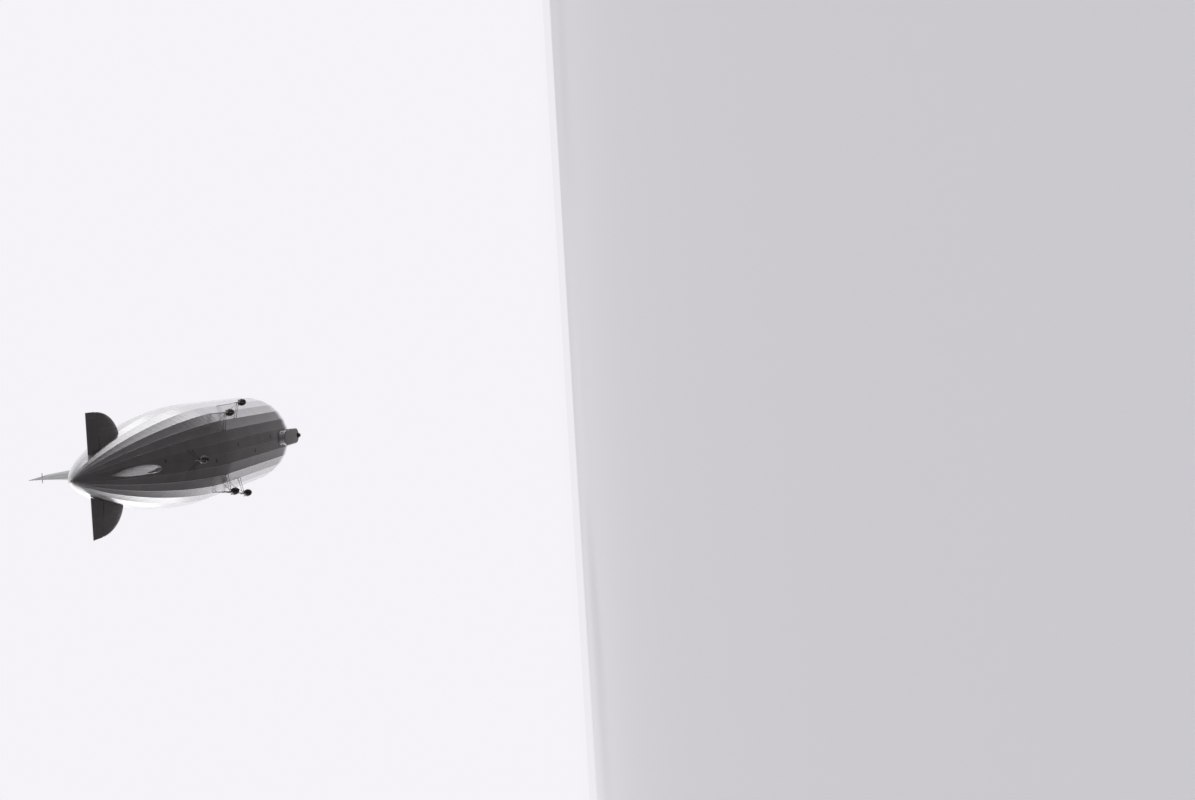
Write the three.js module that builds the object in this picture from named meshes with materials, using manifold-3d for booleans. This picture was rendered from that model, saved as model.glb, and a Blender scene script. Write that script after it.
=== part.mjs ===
// A rigid airship of the late 1920s as a 1:10 scale model: a long hull with 28 flat sides, four fins with
// rudders and elevators, a passenger gondola under the bow and five engine cars with pusher propellers.
// Sizes are given in metres of the full-size ship and built in model millimetres.
// +X points to the nose, +Y to port and +Z up. The origin is on the hull's axis, at its centre of buoyancy.
// A station is a distance in metres forward of the tail's tip.
import * as THREE from "three";
import { mergeVertices } from "three/addons/utils/BufferGeometryUtils.js";
import Module from "manifold-3d";

const wasm = await Module();
wasm.setup();

// Scale and clearances
const M = 100; // model millimetres for one metre of the ship
const GAP = 0.3 / M; // between pieces that touch
const CLEAR = 0.1; // between moving pieces

// Hull
const LENGTH = 236.6;
const RADIUS = 15.25;
const SIDES = 28;
const SKIN = 0.1;
const NOSE_LENGTH = 34;
const NOSE_POWER = 2.25;
const TAIL_LENGTH = 112;
const TAIL_POWER = 1.6;
const TAIL_ROUNDING = 0.7;
const ORIGIN_STATION = 124;
const HOLE_RADIUS = 0.35; // in the nose cap, round the mooring spindle

// Fins and their rudders and elevators
const FIN_ROOT = 42; // station of the leading edge at the hull
const FIN_KNEE = 9.4; // height above the axis where the leading edge starts to curve
const TRAILING_EDGE = 14.4;
const TRAILING_THICKNESS = 0.08;
const HINGE = 21.5;
const CURVE_START = 18;
const SURFACE_INNER = 3.5; // both are drawn from inside the hull, which then cuts them
const PIN_RADIUS = 0.06;
const HORN_REACH = 1.25;

// Engine cars
const CAR_HEIGHT_RATIO = 1.12;
const CAR_WALL = 0.06;
const CAR_SIDES = 14;
const CAR_WINDOW = { sill: 0.12, height: 0.42, width: 0.5, middles: [0.95, 0.1] };
const CAR_REAR = -2.75;
const SHAFT_RADIUS = 0.09;
const HUB_RADIUS = 0.24;
const BLADE_TIP = 1.7;
const STRUT_RADIUS = 0.065;
const LADDER = { foot: 1.95, width: 0.42, railRadius: 0.035, rungRadius: 0.025, step: 0.5 };

// Gondola
const GONDOLA_HALF_WIDTH = 2.6;
const GONDOLA_FRONT = 215.1; // station where the rounded front begins
const GONDOLA_FRONT_LENGTH = 6.0;
const GONDOLA_REAR = 198.1; // station where the tapered rear begins
const GONDOLA_REAR_LENGTH = 7.0;
const GONDOLA_BOTTOM = -17.45;
const FLOOR_TOP = -17.15;
const GONDOLA_WALL = 0.07;
const WALL_TOP = -11;
const DOOR_FORE = 213.1;
const DOOR_AFT = 212.1;
const HANDRAIL = { reach: 0.17, radius: 0.03, height: -17.28 };

// Materials
const paint = (color, roughness, metalness = 0) =>
  new THREE.MeshStandardMaterial({ color, roughness, metalness });
const cover = paint(0xb9babc, 0.5, 0.25);
const surfaceCover = paint(0xaeafb2, 0.5, 0.25);
const carSkin = paint(0x8e9093, 0.4, 0.6);
const dural = paint(0x77797c, 0.45, 0.7);
const castIron = paint(0x2e2f31, 0.6, 0.4);
const wood = paint(0x4a3524, 0.45);
const gondolaSkin = paint(0xa9aaac, 0.5, 0.25);
const bulkheadSkin = paint(0x8c7a62, 0.6);
const glass = paint(0x39434c, 0.1, 0.2);
const rubber = paint(0x3a3937, 0.8);

// Turning geometry into exact solids and back

function solid(geometry) {
  const bare = geometry.index ? geometry.toNonIndexed() : geometry.clone();
  for (const name of Object.keys(bare.attributes)) {
    if (name !== "position") bare.deleteAttribute(name);
  }
  const merged = mergeVertices(bare, 1e-4);
  const vertProperties = merged.attributes.position.array;
  const triVerts = new Uint32Array(merged.index.array);
  const made = new wasm.Manifold(new wasm.Mesh({ numProp: 3, vertProperties, triVerts }));
  if (made.volume() > 0) return made;
  for (let i = 0; i < triVerts.length; i += 3) {
    [triVerts[i + 1], triVerts[i + 2]] = [triVerts[i + 2], triVerts[i + 1]];
  }
  return new wasm.Manifold(new wasm.Mesh({ numProp: 3, vertProperties, triVerts }));
}

const ship = new THREE.Group();

// Adds a solid, drawn in metres with x as a station, to the ship as a named mesh in model millimetres.
function add(name, body, material) {
  const { vertProperties, triVerts, numProp } = body.getMesh();
  const geometry = new THREE.BufferGeometry();
  const position = new Float32Array((vertProperties.length / numProp) * 3);
  for (let i = 0; i < position.length / 3; i += 1) {
    position.set(vertProperties.subarray(i * numProp, i * numProp + 3), i * 3);
  }
  geometry.setAttribute("position", new THREE.BufferAttribute(position, 3));
  geometry.setIndex(new THREE.BufferAttribute(triVerts, 1));
  geometry.translate(-ORIGIN_STATION, 0, 0).scale(M, M, M);
  geometry.computeVertexNormals();
  const mesh = new THREE.Mesh(geometry, material);
  mesh.name = name;
  ship.add(mesh);
}

const union = (bodies) => bodies.reduce((sum, body) => sum.add(body));

const box = (low, high) => {
  const size = high.map((value, axis) => value - low[axis]);
  const middle = high.map((value, axis) => (value + low[axis]) / 2);
  return solid(new THREE.BoxGeometry(...size).translate(...middle));
};

// A round or tapered bar from one point to another.
function rod(from, to, radius, sides = 8, endRadius = radius) {
  const start = new THREE.Vector3(...from);
  const along = new THREE.Vector3(...to).sub(start);
  const upright = new THREE.Vector3(0, 1, 0);
  const turn = new THREE.Quaternion().setFromUnitVectors(upright, along.clone().normalize());
  const middle = start.addScaledVector(along, 0.5);
  const geometry = new THREE.CylinderGeometry(endRadius, radius, along.length(), sides);
  return solid(geometry.applyQuaternion(turn).translate(middle.x, middle.y, middle.z));
}

// A body turned round the X axis from [x, radius] pairs, with a corner straight up.
function turned(profile, sides) {
  const points = profile.map(([along, radius]) => new THREE.Vector2(radius, along));
  return new THREE.LatheGeometry(points, sides).rotateZ(-Math.PI / 2);
}

// A body through rings of points that have equal counts, closed by a fan at each end.
function loft(rings) {
  const count = rings[0].length;
  const position = rings.flat().flat();
  const index = [];
  for (let ring = 0; ring + 1 < rings.length; ring += 1) {
    for (let i = 0; i < count; i += 1) {
      const a = ring * count + i;
      const b = ring * count + ((i + 1) % count);
      index.push(a, b, b + count, a, b + count, a + count);
    }
  }
  const last = (rings.length - 1) * count;
  for (let i = 1; i + 1 < count; i += 1) {
    index.push(0, i + 1, i, last, last + i, last + i + 1);
  }
  const geometry = new THREE.BufferGeometry();
  geometry.setAttribute("position", new THREE.Float32BufferAttribute(position, 3));
  geometry.setIndex(index);
  return solid(geometry);
}

// Hull

function hullRadius(station) {
  const noseShare = Math.max(0, (NOSE_LENGTH - (LENGTH - station)) / NOSE_LENGTH);
  const tailShare = Math.max(0, (TAIL_LENGTH - station) / TAIL_LENGTH);
  const nose = (1 - noseShare ** NOSE_POWER) ** (1 / NOSE_POWER);
  const tail = (1 - tailShare ** TAIL_POWER) ** TAIL_ROUNDING;
  return RADIUS * nose * tail;
}

// A point on one of the hull's long edges, counted from the keel, to port when positive.
function hullEdge(station, edge) {
  const angle = (edge * 2 * Math.PI) / SIDES;
  const radius = hullRadius(station);
  return [station, radius * Math.sin(angle), -radius * Math.cos(angle)];
}

// The [x, radius] pair that lies a distance inside the hull's outline, square to it.
function insideHull(station, depth) {
  const step = 0.02;
  const slope = (hullRadius(station + step) - hullRadius(station - step)) / (2 * step);
  const size = Math.hypot(slope, 1);
  return [station + (depth * slope) / size, hullRadius(station) - depth / size];
}

// Radius of the inside of the skin where it crosses a station.
function innerRadius(station) {
  let outside = station;
  for (let round = 0; round < 20; round += 1) {
    outside = Math.min(outside + station - insideHull(outside, SKIN)[0], LENGTH - 0.05);
  }
  return insideHull(outside, SKIN)[1];
}

// Hull sections: name and the stations of their rings
const TAIL_STATIONS = [0.4, 2, 5, 9];
const SECTIONS = [
  ["hull_stern", [9, 16, 24, 32, 39, 54]],
  ["hull_aft", [54, 69, 84, 99]],
  ["hull_middle_aft", [99, 114, 144]],
  ["hull_middle_fore", [144, 189]],
  ["hull_bow", [189, 198.6, 204, 210, 216, 221, 225, 229, 232.5, 235, 236]],
];

// The whole outline grown by a margin, as a solid that cuts what stands on the hull.
function hullCutter(margin) {
  const stations = [...new Set([...TAIL_STATIONS, ...SECTIONS.flatMap(([, rings]) => rings)])];
  const profile = stations.map((station) => [station, hullRadius(station) + margin]);
  return solid(turned([[stations[0], 0], ...profile, [stations.at(-1), 0]], SIDES));
}

for (const [name, stations] of SECTIONS) {
  const outer = stations.map((station) => [station, hullRadius(station)]);
  outer[0][0] += GAP;
  const inner = stations.map((station) => [station, innerRadius(station)]).reverse();
  inner.at(-1)[0] += GAP;
  add(name, solid(turned([...outer, ...inner, outer[0]], SIDES)), cover);
}

const tailOuter = TAIL_STATIONS.map((station) => [station, hullRadius(station)]);
const tailInner = TAIL_STATIONS.slice(1).map((station) => [station, insideHull(station, SKIN)[1]]).reverse();
add("tail_cone", solid(turned([[0, 0.3], ...tailOuter, ...tailInner, [0, 0.16], [0, 0.3]], SIDES)), cover);
const LAMP_RADIUS = 0.15;
const lampGlobe = solid(new THREE.SphereGeometry(LAMP_RADIUS, 10, 6).translate(-0.02, 0, 0));
const lampStem = rod([-0.02, 0, 0], [1.2, 0, 0], LAMP_RADIUS, 10);
const lampCollar = rod([1.1, 0, 0], [1.2, 0, 0], 0.4, 10); // seated inside the cone's tip
add("tail_lamp", union([lampGlobe, lampStem, lampCollar]), glass);

const capRear = SECTIONS.at(-1)[1].at(-1);
const capFront = LENGTH - 0.02;
const capOuter = [
  [capRear + GAP, hullRadius(capRear)],
  [capRear + 0.35, hullRadius(capRear + 0.35)],
  [capFront, 0.9],
  [capFront, HOLE_RADIUS],
];
const capInner = [
  [capFront - SKIN, HOLE_RADIUS],
  [capFront - SKIN, 0.9],
  [capRear + 0.2, 1.9],
  [capRear + GAP, 2.6],
];
add("nose_cap", solid(turned([...capOuter, ...capInner, capOuter[0]], SIDES)), dural);
const spindleProfile = [
  [capRear - 0.7, 0],
  [capRear - 0.7, 0.6],
  [capFront - SKIN - GAP, 0.6],
  [capFront - SKIN - GAP, HOLE_RADIUS - GAP],
  [LENGTH + 0.5, HOLE_RADIUS - GAP],
  [LENGTH + 0.5, 0.24],
  [LENGTH + 0.9, 0.24],
  [LENGTH + 0.9, 0.36],
  [LENGTH + 1.3, 0.2],
  [LENGTH + 1.3, 0],
];
add("mooring_spindle", solid(turned(spindleProfile, 16)), dural);

const onHull = hullCutter(GAP);

// Fins, rudders and elevators

const finThickness = (height) => 4.7 - 0.26 * height;
const noseRadius = (height) => 0.31 * finThickness(height);

// Station of the leading edge at a height, for a fin whose tip is at the height tip.
function leadingEdge(height, tip) {
  const share = Math.min(1, Math.max(0, (height - FIN_KNEE) / (tip + 0.05 - FIN_KNEE)));
  return CURVE_START + (FIN_ROOT - CURVE_START) * (1 - share ** 1.6) ** (1 / 2.6);
}

// A fin drawn upright, from the front: leading edge, thickest part and flat rear face.
function finBody(tip) {
  const curved = [0.32, 0.6, 0.8].map((share) => FIN_KNEE + share * (tip - FIN_KNEE));
  const heights = [SURFACE_INNER, FIN_KNEE, ...curved, tip - 0.45, tip - 0.12];
  const rings = heights.map((height) => {
    const front = leadingEdge(height, tip);
    const rear = HINGE + noseRadius(height) + CLEAR;
    const chord = front - rear;
    const half = Math.min(finThickness(height) / 2, chord * 0.2);
    const rearHalf = Math.min(noseRadius(height), half);
    const side = [
      [front, 0.1],
      [front - 0.12 * chord, 0.6],
      [front - 0.38 * chord, 1],
      [rear + 0.2 * chord, 0.9],
    ];
    const port = side.map(([x, share]) => [x, share * half, height]);
    const starboard = side.map(([x, share]) => [x, -share * half, height]).reverse();
    return [...port, [rear, rearHalf, height], [rear, -rearHalf, height], ...starboard];
  });
  return loft(rings);
}

// A rudder or elevator drawn upright: round front about the hinge line, thin trailing edge.
function surfaceBody(tip) {
  const heights = [SURFACE_INNER, FIN_KNEE, tip];
  const rings = heights.map((height) => {
    const radius = noseRadius(height);
    const ring = [];
    for (let degrees = 100; degrees >= -100; degrees -= 25) {
      const angle = THREE.MathUtils.degToRad(degrees);
      ring.push([HINGE + radius * Math.cos(angle), radius * Math.sin(angle), height]);
    }
    const edge = TRAILING_THICKNESS / 2;
    return [...ring, [TRAILING_EDGE, -edge, height], [TRAILING_EDGE, edge, height]];
  });
  return loft(rings);
}

// The lug and pin that a fin holds, and the slot and hole for them in its rudder or elevator.
const LUG = { halfWidth: 0.1, halfThickness: 0.08, pinReach: 0.26, slotHalfWidth: 0.16, slotDepth: 0.2 };
function hingeLug(height) {
  const rear = HINGE + noseRadius(height) + CLEAR;
  const { halfWidth, halfThickness, pinReach } = LUG;
  return union([
    box([HINGE, -halfThickness, height - halfWidth], [rear + 0.3, halfThickness, height + halfWidth]),
    rod([HINGE, 0, height - halfWidth], [HINGE, 0, height + halfWidth], halfThickness, 12),
    rod([HINGE, 0, height - pinReach], [HINGE, 0, height + pinReach], PIN_RADIUS, 12),
  ]);
}
function hingeSlot(height) {
  const { pinReach, slotHalfWidth, slotDepth } = LUG;
  const hole = (PIN_RADIUS + GAP) / Math.cos(Math.PI / 12);
  return union([
    box([HINGE - slotDepth, -1, height - slotHalfWidth], [HINGE + 2, 1, height + slotHalfWidth]),
    rod([HINGE, 0, height - pinReach - GAP], [HINGE, 0, height + pinReach + GAP], hole, 12),
  ]);
}

// The lever across a rudder or elevator that its control cables pull.
function controlHorn(height) {
  const port = [[0.16, 0], [0.06, HORN_REACH], [-0.06, HORN_REACH], [-0.34, 0]];
  const starboard = [[-0.06, -HORN_REACH], [0.06, -HORN_REACH]];
  const shape = new THREE.Shape([...port, ...starboard].map(([x, y]) => new THREE.Vector2(HINGE + x, y)));
  const plate = new THREE.ExtrudeGeometry(shape, { depth: 0.1, bevelEnabled: false });
  return solid(plate.translate(0, 0, height));
}

// Fins: name, name of the moving surface, turn about the ship's axis in degrees, and the heights of the tip, of the
// lever and of the two hinges
const FINS = [
  ["fin_top", "rudder_top", 0, 14.7, 13.6, [8.4, 14.2]],
  ["fin_bottom", "rudder_bottom", 180, 13.7, 8.7, [7.6, 13.2]],
  ["fin_port", "elevator_port", -90, 15.6, 13.6, [8.4, 14.2]],
  ["fin_starboard", "elevator_starboard", 90, 15.6, 13.6, [8.4, 14.2]],
];
const awayFromHull = hullCutter(CLEAR);
for (const [finName, surfaceName, turn, tip, hornHeight, hingeHeights] of FINS) {
  const fin = union([finBody(tip), ...hingeHeights.map(hingeLug)]);
  const surface = surfaceBody(tip).add(controlHorn(hornHeight)).subtract(union(hingeHeights.map(hingeSlot)));
  add(finName, fin.rotate([turn, 0, 0]).subtract(onHull), cover);
  add(surfaceName, surface.rotate([turn, 0, 0]).subtract(awayFromHull), surfaceCover);
}

// Engine cars

// Outline of a car from its blunt front to its rear: [x from the middle, radius]
const CAR_WIDEST = 1.08;
const CAR_PROFILE = [
  [2.75, 0.5],
  [2.6, 0.75],
  [2.1, 0.96],
  [0.9, CAR_WIDEST],
  [-0.3, 1.03],
  [-1.4, 0.82],
  [-2.2, 0.54],
  [CAR_REAR, 0.3],
];

function carBody(inset) {
  const profile = CAR_PROFILE.map(([x, radius]) => [x, radius - inset]);
  profile[0][0] -= inset;
  profile.at(-1)[0] += inset;
  const closed = [[profile[0][0], 0], ...profile, [profile.at(-1)[0], 0]];
  return solid(turned(closed, CAR_SIDES).scale(1, 1, CAR_HEIGHT_RATIO));
}

function engineBody() {
  const block = box([-0.9, -0.4, -0.5], [1.1, 0.4, 0.5]);
  const bearers = [-0.6, 0.8].map((x) => box([x - 0.1, -0.32, -1.3], [x + 0.1, 0.32, -0.45]));
  const shaft = rod([-0.85, 0, 0], [CAR_REAR - 0.42, 0, 0], SHAFT_RADIUS, 12);
  const housed = union([block, ...bearers]).intersect(carBody(CAR_WALL + GAP));
  return housed.add(shaft);
}

// Blade sections: radius, chord, thickness, angle of the chord to the disc in degrees
const BLADE = [
  [0.15, 0.16, 0.13, 60],
  [0.5, 0.26, 0.09, 48],
  [0.95, 0.3, 0.06, 34],
  [1.4, 0.25, 0.04, 25],
  [BLADE_TIP, 0.1, 0.025, 21],
];

function propellerBody() {
  const hubFront = CAR_REAR - 0.06;
  const hubRear = hubFront - 0.42;
  const hub = rod([hubFront, 0, 0], [hubRear, 0, 0], HUB_RADIUS, 14);
  const spinner = rod([hubRear, 0, 0], [hubRear - 0.34, 0, 0], HUB_RADIUS, 14, 0.05);
  const rings = BLADE.map(([radius, chord, thickness, degrees]) => {
    const angle = THREE.MathUtils.degToRad(degrees);
    const corners = [[-0.5, 0], [-0.15, 0.5], [0.25, 0.4], [0.5, 0], [0.25, -0.3], [-0.15, -0.4]];
    return corners.map(([along, across]) => {
      const u = along * chord;
      const v = across * thickness;
      const x = -0.23 + hubFront + u * Math.sin(angle) + v * Math.cos(angle);
      return [x, u * Math.cos(angle) - v * Math.sin(angle), radius];
    });
  });
  const blade = loft(rings);
  const bore = (SHAFT_RADIUS + GAP) / Math.cos(Math.PI / 12);
  const hole = rod([hubFront + 0.01, 0, 0], [CAR_REAR - 0.42 - GAP, 0, 0], bore, 12);
  return union([hub, spinner, blade, blade.rotate([180, 0, 0])]).subtract(hole);
}

const carWindows = CAR_WINDOW.middles.map((middle) => {
  const { sill, height, width } = CAR_WINDOW;
  return box([middle - width / 2, -2, sill], [middle + width / 2, 2, sill + height]);
});
const shaftHole = rod([CAR_REAR - 0.1, 0, 0], [-2, 0, 0], 0.14, 12);
const exhausts = [1, -1].map((side) => rod([-0.9, side * 0.5, 0.5], [-1.35, side * 0.86, 0.92], 0.09, 6));
const carInside = carBody(CAR_WALL);
const carShell = union([carBody(0), ...exhausts]).subtract(union([carInside, shaftHole, ...carWindows]));
const carEngine = engineBody();
const carPropeller = propellerBody();
const carClearance = carBody(-GAP);

// Engine cars: name, station, to port, up, and the two hull edges that its struts reach
const CARS = [
  ["fore_port", 134.3, 14.4, -14.2, [3, 5]],
  ["fore_starboard", 134.3, -14.4, -14.2, [-3, -5]],
  ["aft_port", 108.1, 11.9, -15.6, [2, 4]],
  ["aft_starboard", 108.1, -11.9, -15.6, [-2, -4]],
  ["tail", 68, 0, -15.7, [-1, 1]],
];
const FEET = [1.3, -1.1]; // where the struts stand on the car's saddle
const SPREAD = 1.5; // how much further apart they reach the hull
const INTO_HULL = 0.99;

// The ladder from a car's saddle up to the hull, leaning towards the point top.
function ladder(foot, top) {
  const { width, railRadius, rungRadius, step } = LADDER;
  const start = new THREE.Vector3(...foot);
  const along = new THREE.Vector3(...top).sub(start);
  const bars = [-width / 2, width / 2].map((x) =>
    rod([foot[0] + x, foot[1], foot[2]], [top[0] + x, top[1], top[2]], railRadius, 5));
  const rungs = Math.floor(along.length() / step);
  for (let rung = 1; rung < rungs; rung += 1) {
    const { x, y, z } = start.clone().addScaledVector(along, rung / rungs);
    bars.push(rod([x - width / 2, y, z], [x + width / 2, y, z], rungRadius, 4));
  }
  return union(bars);
}

for (const [name, station, port, up, edges] of CARS) {
  const place = (body) => body.translate([station, port, up]);
  const saddleTop = CAR_WIDEST * CAR_HEIGHT_RATIO + 0.1;
  const strutFoot = (foot) => [station + foot, port, up + saddleTop - 0.1];
  const strutHead = (foot, edge) => {
    const [x, y, z] = hullEdge(station + foot * SPREAD, edge);
    return [x, y * INTO_HULL, z * INTO_HULL];
  };
  const ladderFore = LADDER.foot + LADDER.width / 2 + 0.06;
  const struts = [place(box([FEET[1] - 0.2, -0.14, 0.85], [ladderFore, 0.14, saddleTop]))];
  for (const foot of FEET) {
    for (const edge of edges) {
      struts.push(rod(strutFoot(foot), strutHead(foot, edge), STRUT_RADIUS, 6));
    }
  }
  struts.push(rod(strutFoot(FEET[0]), strutHead(FEET[1], edges[1]), STRUT_RADIUS * 0.7, 6));
  const [, ladderY, ladderZ] = hullEdge(station + LADDER.foot, (edges[0] + edges[1]) / 2);
  struts.push(ladder(strutFoot(LADDER.foot), [station + LADDER.foot, ladderY, ladderZ]));
  add(`car_${name}`, place(carShell), carSkin);
  add(`struts_${name}`, union(struts).subtract(place(carClearance)).subtract(onHull), dural);
  add(`engine_${name}`, place(carEngine), castIron);
  add(`propeller_${name}`, place(carPropeller), wood);
}

// Gondola

// The outline seen from above, a distance inside the real one.
function gondolaOutline(inset) {
  const shape = new THREE.Shape();
  const half = GONDOLA_HALF_WIDTH - inset;
  const steps = 12;
  for (let step = 0; step <= steps; step += 1) {
    const angle = (step / steps - 0.5) * Math.PI;
    const x = GONDOLA_FRONT + (GONDOLA_FRONT_LENGTH - inset) * Math.cos(angle);
    if (step === 0) shape.moveTo(x, half * Math.sin(angle));
    else shape.lineTo(x, half * Math.sin(angle));
  }
  for (let step = 0; step <= steps; step += 1) {
    const angle = (0.5 - step / steps) * Math.PI;
    shape.lineTo(GONDOLA_REAR - (GONDOLA_REAR_LENGTH - inset) * Math.cos(angle), half * Math.sin(angle));
  }
  return shape;
}

function prism(inset, low, high) {
  const settings = { depth: high - low, bevelEnabled: false };
  return solid(new THREE.ExtrudeGeometry(gondolaOutline(inset), settings).translate(0, 0, low));
}

const ring = (outer, inner, low, high) => prism(outer, low, high).subtract(prism(inner, low - 1, high + 1));

const outlineRing = (inset, height) =>
  gondolaOutline(inset).getPoints().slice(0, -1).map(({ x, y }) => [x, y, height]);
const floorBody = loft([
  outlineRing(0.35, GONDOLA_BOTTOM),
  outlineRing(0.1, GONDOLA_BOTTOM + 0.1),
  outlineRing(0, GONDOLA_BOTTOM + 0.22),
  outlineRing(0, FLOOR_TOP),
]);
const { reach: railReach, radius: railRadius, height: railHeight } = HANDRAIL;
const railAround = [-railReach - railRadius, -railReach + railRadius];
const handrail = ring(...railAround, railHeight - railRadius, railHeight + railRadius);
const stubLow = railHeight - 0.6 * railRadius;
const stubHigh = railHeight + 0.6 * railRadius;
const stubEnd = GONDOLA_HALF_WIDTH + railReach;
const stubRear = GONDOLA_REAR - GONDOLA_REAR_LENGTH - railReach;
const stubFront = GONDOLA_FRONT + GONDOLA_FRONT_LENGTH + railReach;
const railStubs = [199, 203, 207, 211, 215].map((station) =>
  box([station - 0.03, -stubEnd, stubLow], [station + 0.03, stubEnd, stubHigh]));
railStubs.push(box([stubRear, -0.03, stubLow], [stubFront, 0.03, stubHigh]));
add("gondola_floor", union([floorBody, handrail, ...railStubs]), gondolaSkin);

// Windows: part of the outline, station or angle in degrees, width, sill, height, arched top
const WINDOWS = [
  ["front", 0, 1.2, -16.35, 1.2, false],
  ["front", 25, 1.2, -16.35, 1.2, false],
  ["front", 47, 1.4, -16.35, 1.2, false],
  ["front", 68, 1.5, -16.35, 1.2, false],
  ["front", 84, 0.9, -16.35, 1.1, false],
  ["side", 214.1, 1.1, -16.3, 0.95, false],
  ["side", 211.0, 0.8, -16.25, 0.75, false],
  ["side", 208.8, 1.5, -16.35, 0.75, true],
  ["side", 206.6, 1.5, -16.35, 0.75, true],
  ["side", 204.3, 0.9, -16.2, 0.65, false],
  ["side", 202.3, 0.9, -16.2, 0.65, false],
  ["side", 200.3, 0.9, -16.2, 0.65, false],
  ["rear", 75, 0.8, -16.2, 0.65, false],
  ["rear", 56, 0.8, -16.2, 0.65, false],
];

// Where a window stands on the outline and the direction that it faces.
function windowPlace(part, at) {
  if (part === "side") return [at, GONDOLA_HALF_WIDTH, Math.PI / 2];
  const angle = THREE.MathUtils.degToRad(at);
  const front = part === "front";
  const middle = front ? GONDOLA_FRONT : GONDOLA_REAR;
  const length = front ? GONDOLA_FRONT_LENGTH : -GONDOLA_REAR_LENGTH;
  const facing = Math.atan2(Math.sin(angle) / GONDOLA_HALF_WIDTH, Math.cos(angle) / length);
  return [middle + length * Math.cos(angle), GONDOLA_HALF_WIDTH * Math.sin(angle), facing];
}

function windowCutter([part, at, width, sill, height, arched]) {
  const shape = new THREE.Shape();
  shape.moveTo(-width / 2, 0);
  shape.lineTo(width / 2, 0);
  shape.lineTo(width / 2, height);
  if (arched) shape.absellipse(0, height, width / 2, 0.35, 0, Math.PI, false);
  shape.lineTo(-width / 2, height);
  const geometry = new THREE.ExtrudeGeometry(shape, { depth: 0.8, bevelEnabled: false, curveSegments: 8 });
  const [x, y, facing] = windowPlace(part, at);
  geometry.translate(0, 0, -0.5).rotateX(Math.PI / 2).rotateZ(facing + Math.PI / 2);
  return solid(geometry.translate(x, y, sill));
}

const windowCutters = WINDOWS.flatMap((row) => {
  const port = windowCutter(row);
  return row[1] === 0 ? [port] : [port, port.mirror([0, 1, 0])];
});
const wallRing = ring(0, GONDOLA_WALL, FLOOR_TOP + GAP, WALL_TOP).subtract(onHull);
const windowedWall = wallRing.subtract(union(windowCutters));
const GLASS_THICKNESS = 0.03;
const glassOutside = GONDOLA_WALL + GAP;
const glazingRing = ring(glassOutside, glassOutside + GLASS_THICKNESS, -16.5, -15.06).subtract(onHull);

const FAR = 30;
const frontZone = box([DOOR_FORE, -FAR, -FAR], [LENGTH, FAR, 0]);
const portZone = box([0, GAP / 2, -FAR], [DOOR_FORE - GAP, FAR, 0]);
const starboardZone = box([0, -FAR, -FAR], [DOOR_AFT, -GAP / 2, 0]);
add("gondola_front", windowedWall.intersect(frontZone), gondolaSkin);
add("gondola_wall_port", windowedWall.intersect(portZone), gondolaSkin);
add("gondola_wall_starboard", windowedWall.intersect(starboardZone), gondolaSkin);
add("glazing_front", glazingRing.intersect(frontZone), glass);
add("glazing_port", glazingRing.intersect(portZone), glass);
add("glazing_starboard", glazingRing.intersect(starboardZone), glass);

const DOOR_CLEAR = 0.055;
const doorZone = box([DOOR_AFT + DOOR_CLEAR, -FAR, FLOOR_TOP + DOOR_CLEAR], [DOOR_FORE - GAP, 0, 0]);
const doorRing = ring(0, GONDOLA_WALL, FLOOR_TOP, WALL_TOP).subtract(hullCutter(DOOR_CLEAR));
add("gondola_door", doorRing.intersect(doorZone), gondolaSkin);

// Bulkheads with a doorway in the middle: name, station
const BULKHEADS = [
  ["bulkhead_control_room", 213.35],
  ["bulkhead_lounge", 205.5],
];
const roomSide = glassOutside + GLASS_THICKNESS + GAP;
for (const [name, station] of BULKHEADS) {
  const slab = box([station, -FAR, FLOOR_TOP + GAP], [station + 0.05, FAR, WALL_TOP]);
  const doorway = box([station - 1, -0.4, -FAR], [station + 1, 0.4, FLOOR_TOP + 1.95]);
  const room = prism(roomSide, FLOOR_TOP, WALL_TOP).subtract(onHull);
  add(name, slab.intersect(room).subtract(doorway), bulkheadSkin);
}

// Furniture seen through the glass, on a mat that carries it
const MAT_TOP = FLOOR_TOP + 0.04;
const mat = (aft, fore, half) => box([aft, -half, FLOOR_TOP + GAP], [fore, half, MAT_TOP]);

function table(station, across, length, width, height) {
  const top = box(
    [station - length / 2, across - width / 2, MAT_TOP + height - 0.05],
    [station + length / 2, across + width / 2, MAT_TOP + height],
  );
  const foot = [station - 0.08, across - 0.08, MAT_TOP - 0.02];
  return [top, box(foot, [station + 0.08, across + 0.08, MAT_TOP + height])];
}

// A chair whose back is on the side that facing, 1 or -1, points away from.
function chair(station, across, facing) {
  const half = 0.24;
  const back = station - facing * half;
  return [
    box([station - half, across - half, MAT_TOP - 0.02], [station + half, across + half, MAT_TOP + 0.45]),
    box([back - 0.05, across - half, MAT_TOP + 0.4], [back + 0.05, across + half, MAT_TOP + 0.95]),
  ];
}

const lounge = [mat(205.9, 212.9, 2.4)];
for (const station of [207.7, 210.6]) {
  for (const side of [1, -1]) {
    lounge.push(...table(station, side * 1.75, 0.9, 1.1, 0.75));
    lounge.push(...chair(station - 0.85, side * 1.75, 1), ...chair(station + 0.85, side * 1.75, -1));
  }
}
add("lounge_furniture", union(lounge), wood);

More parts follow.
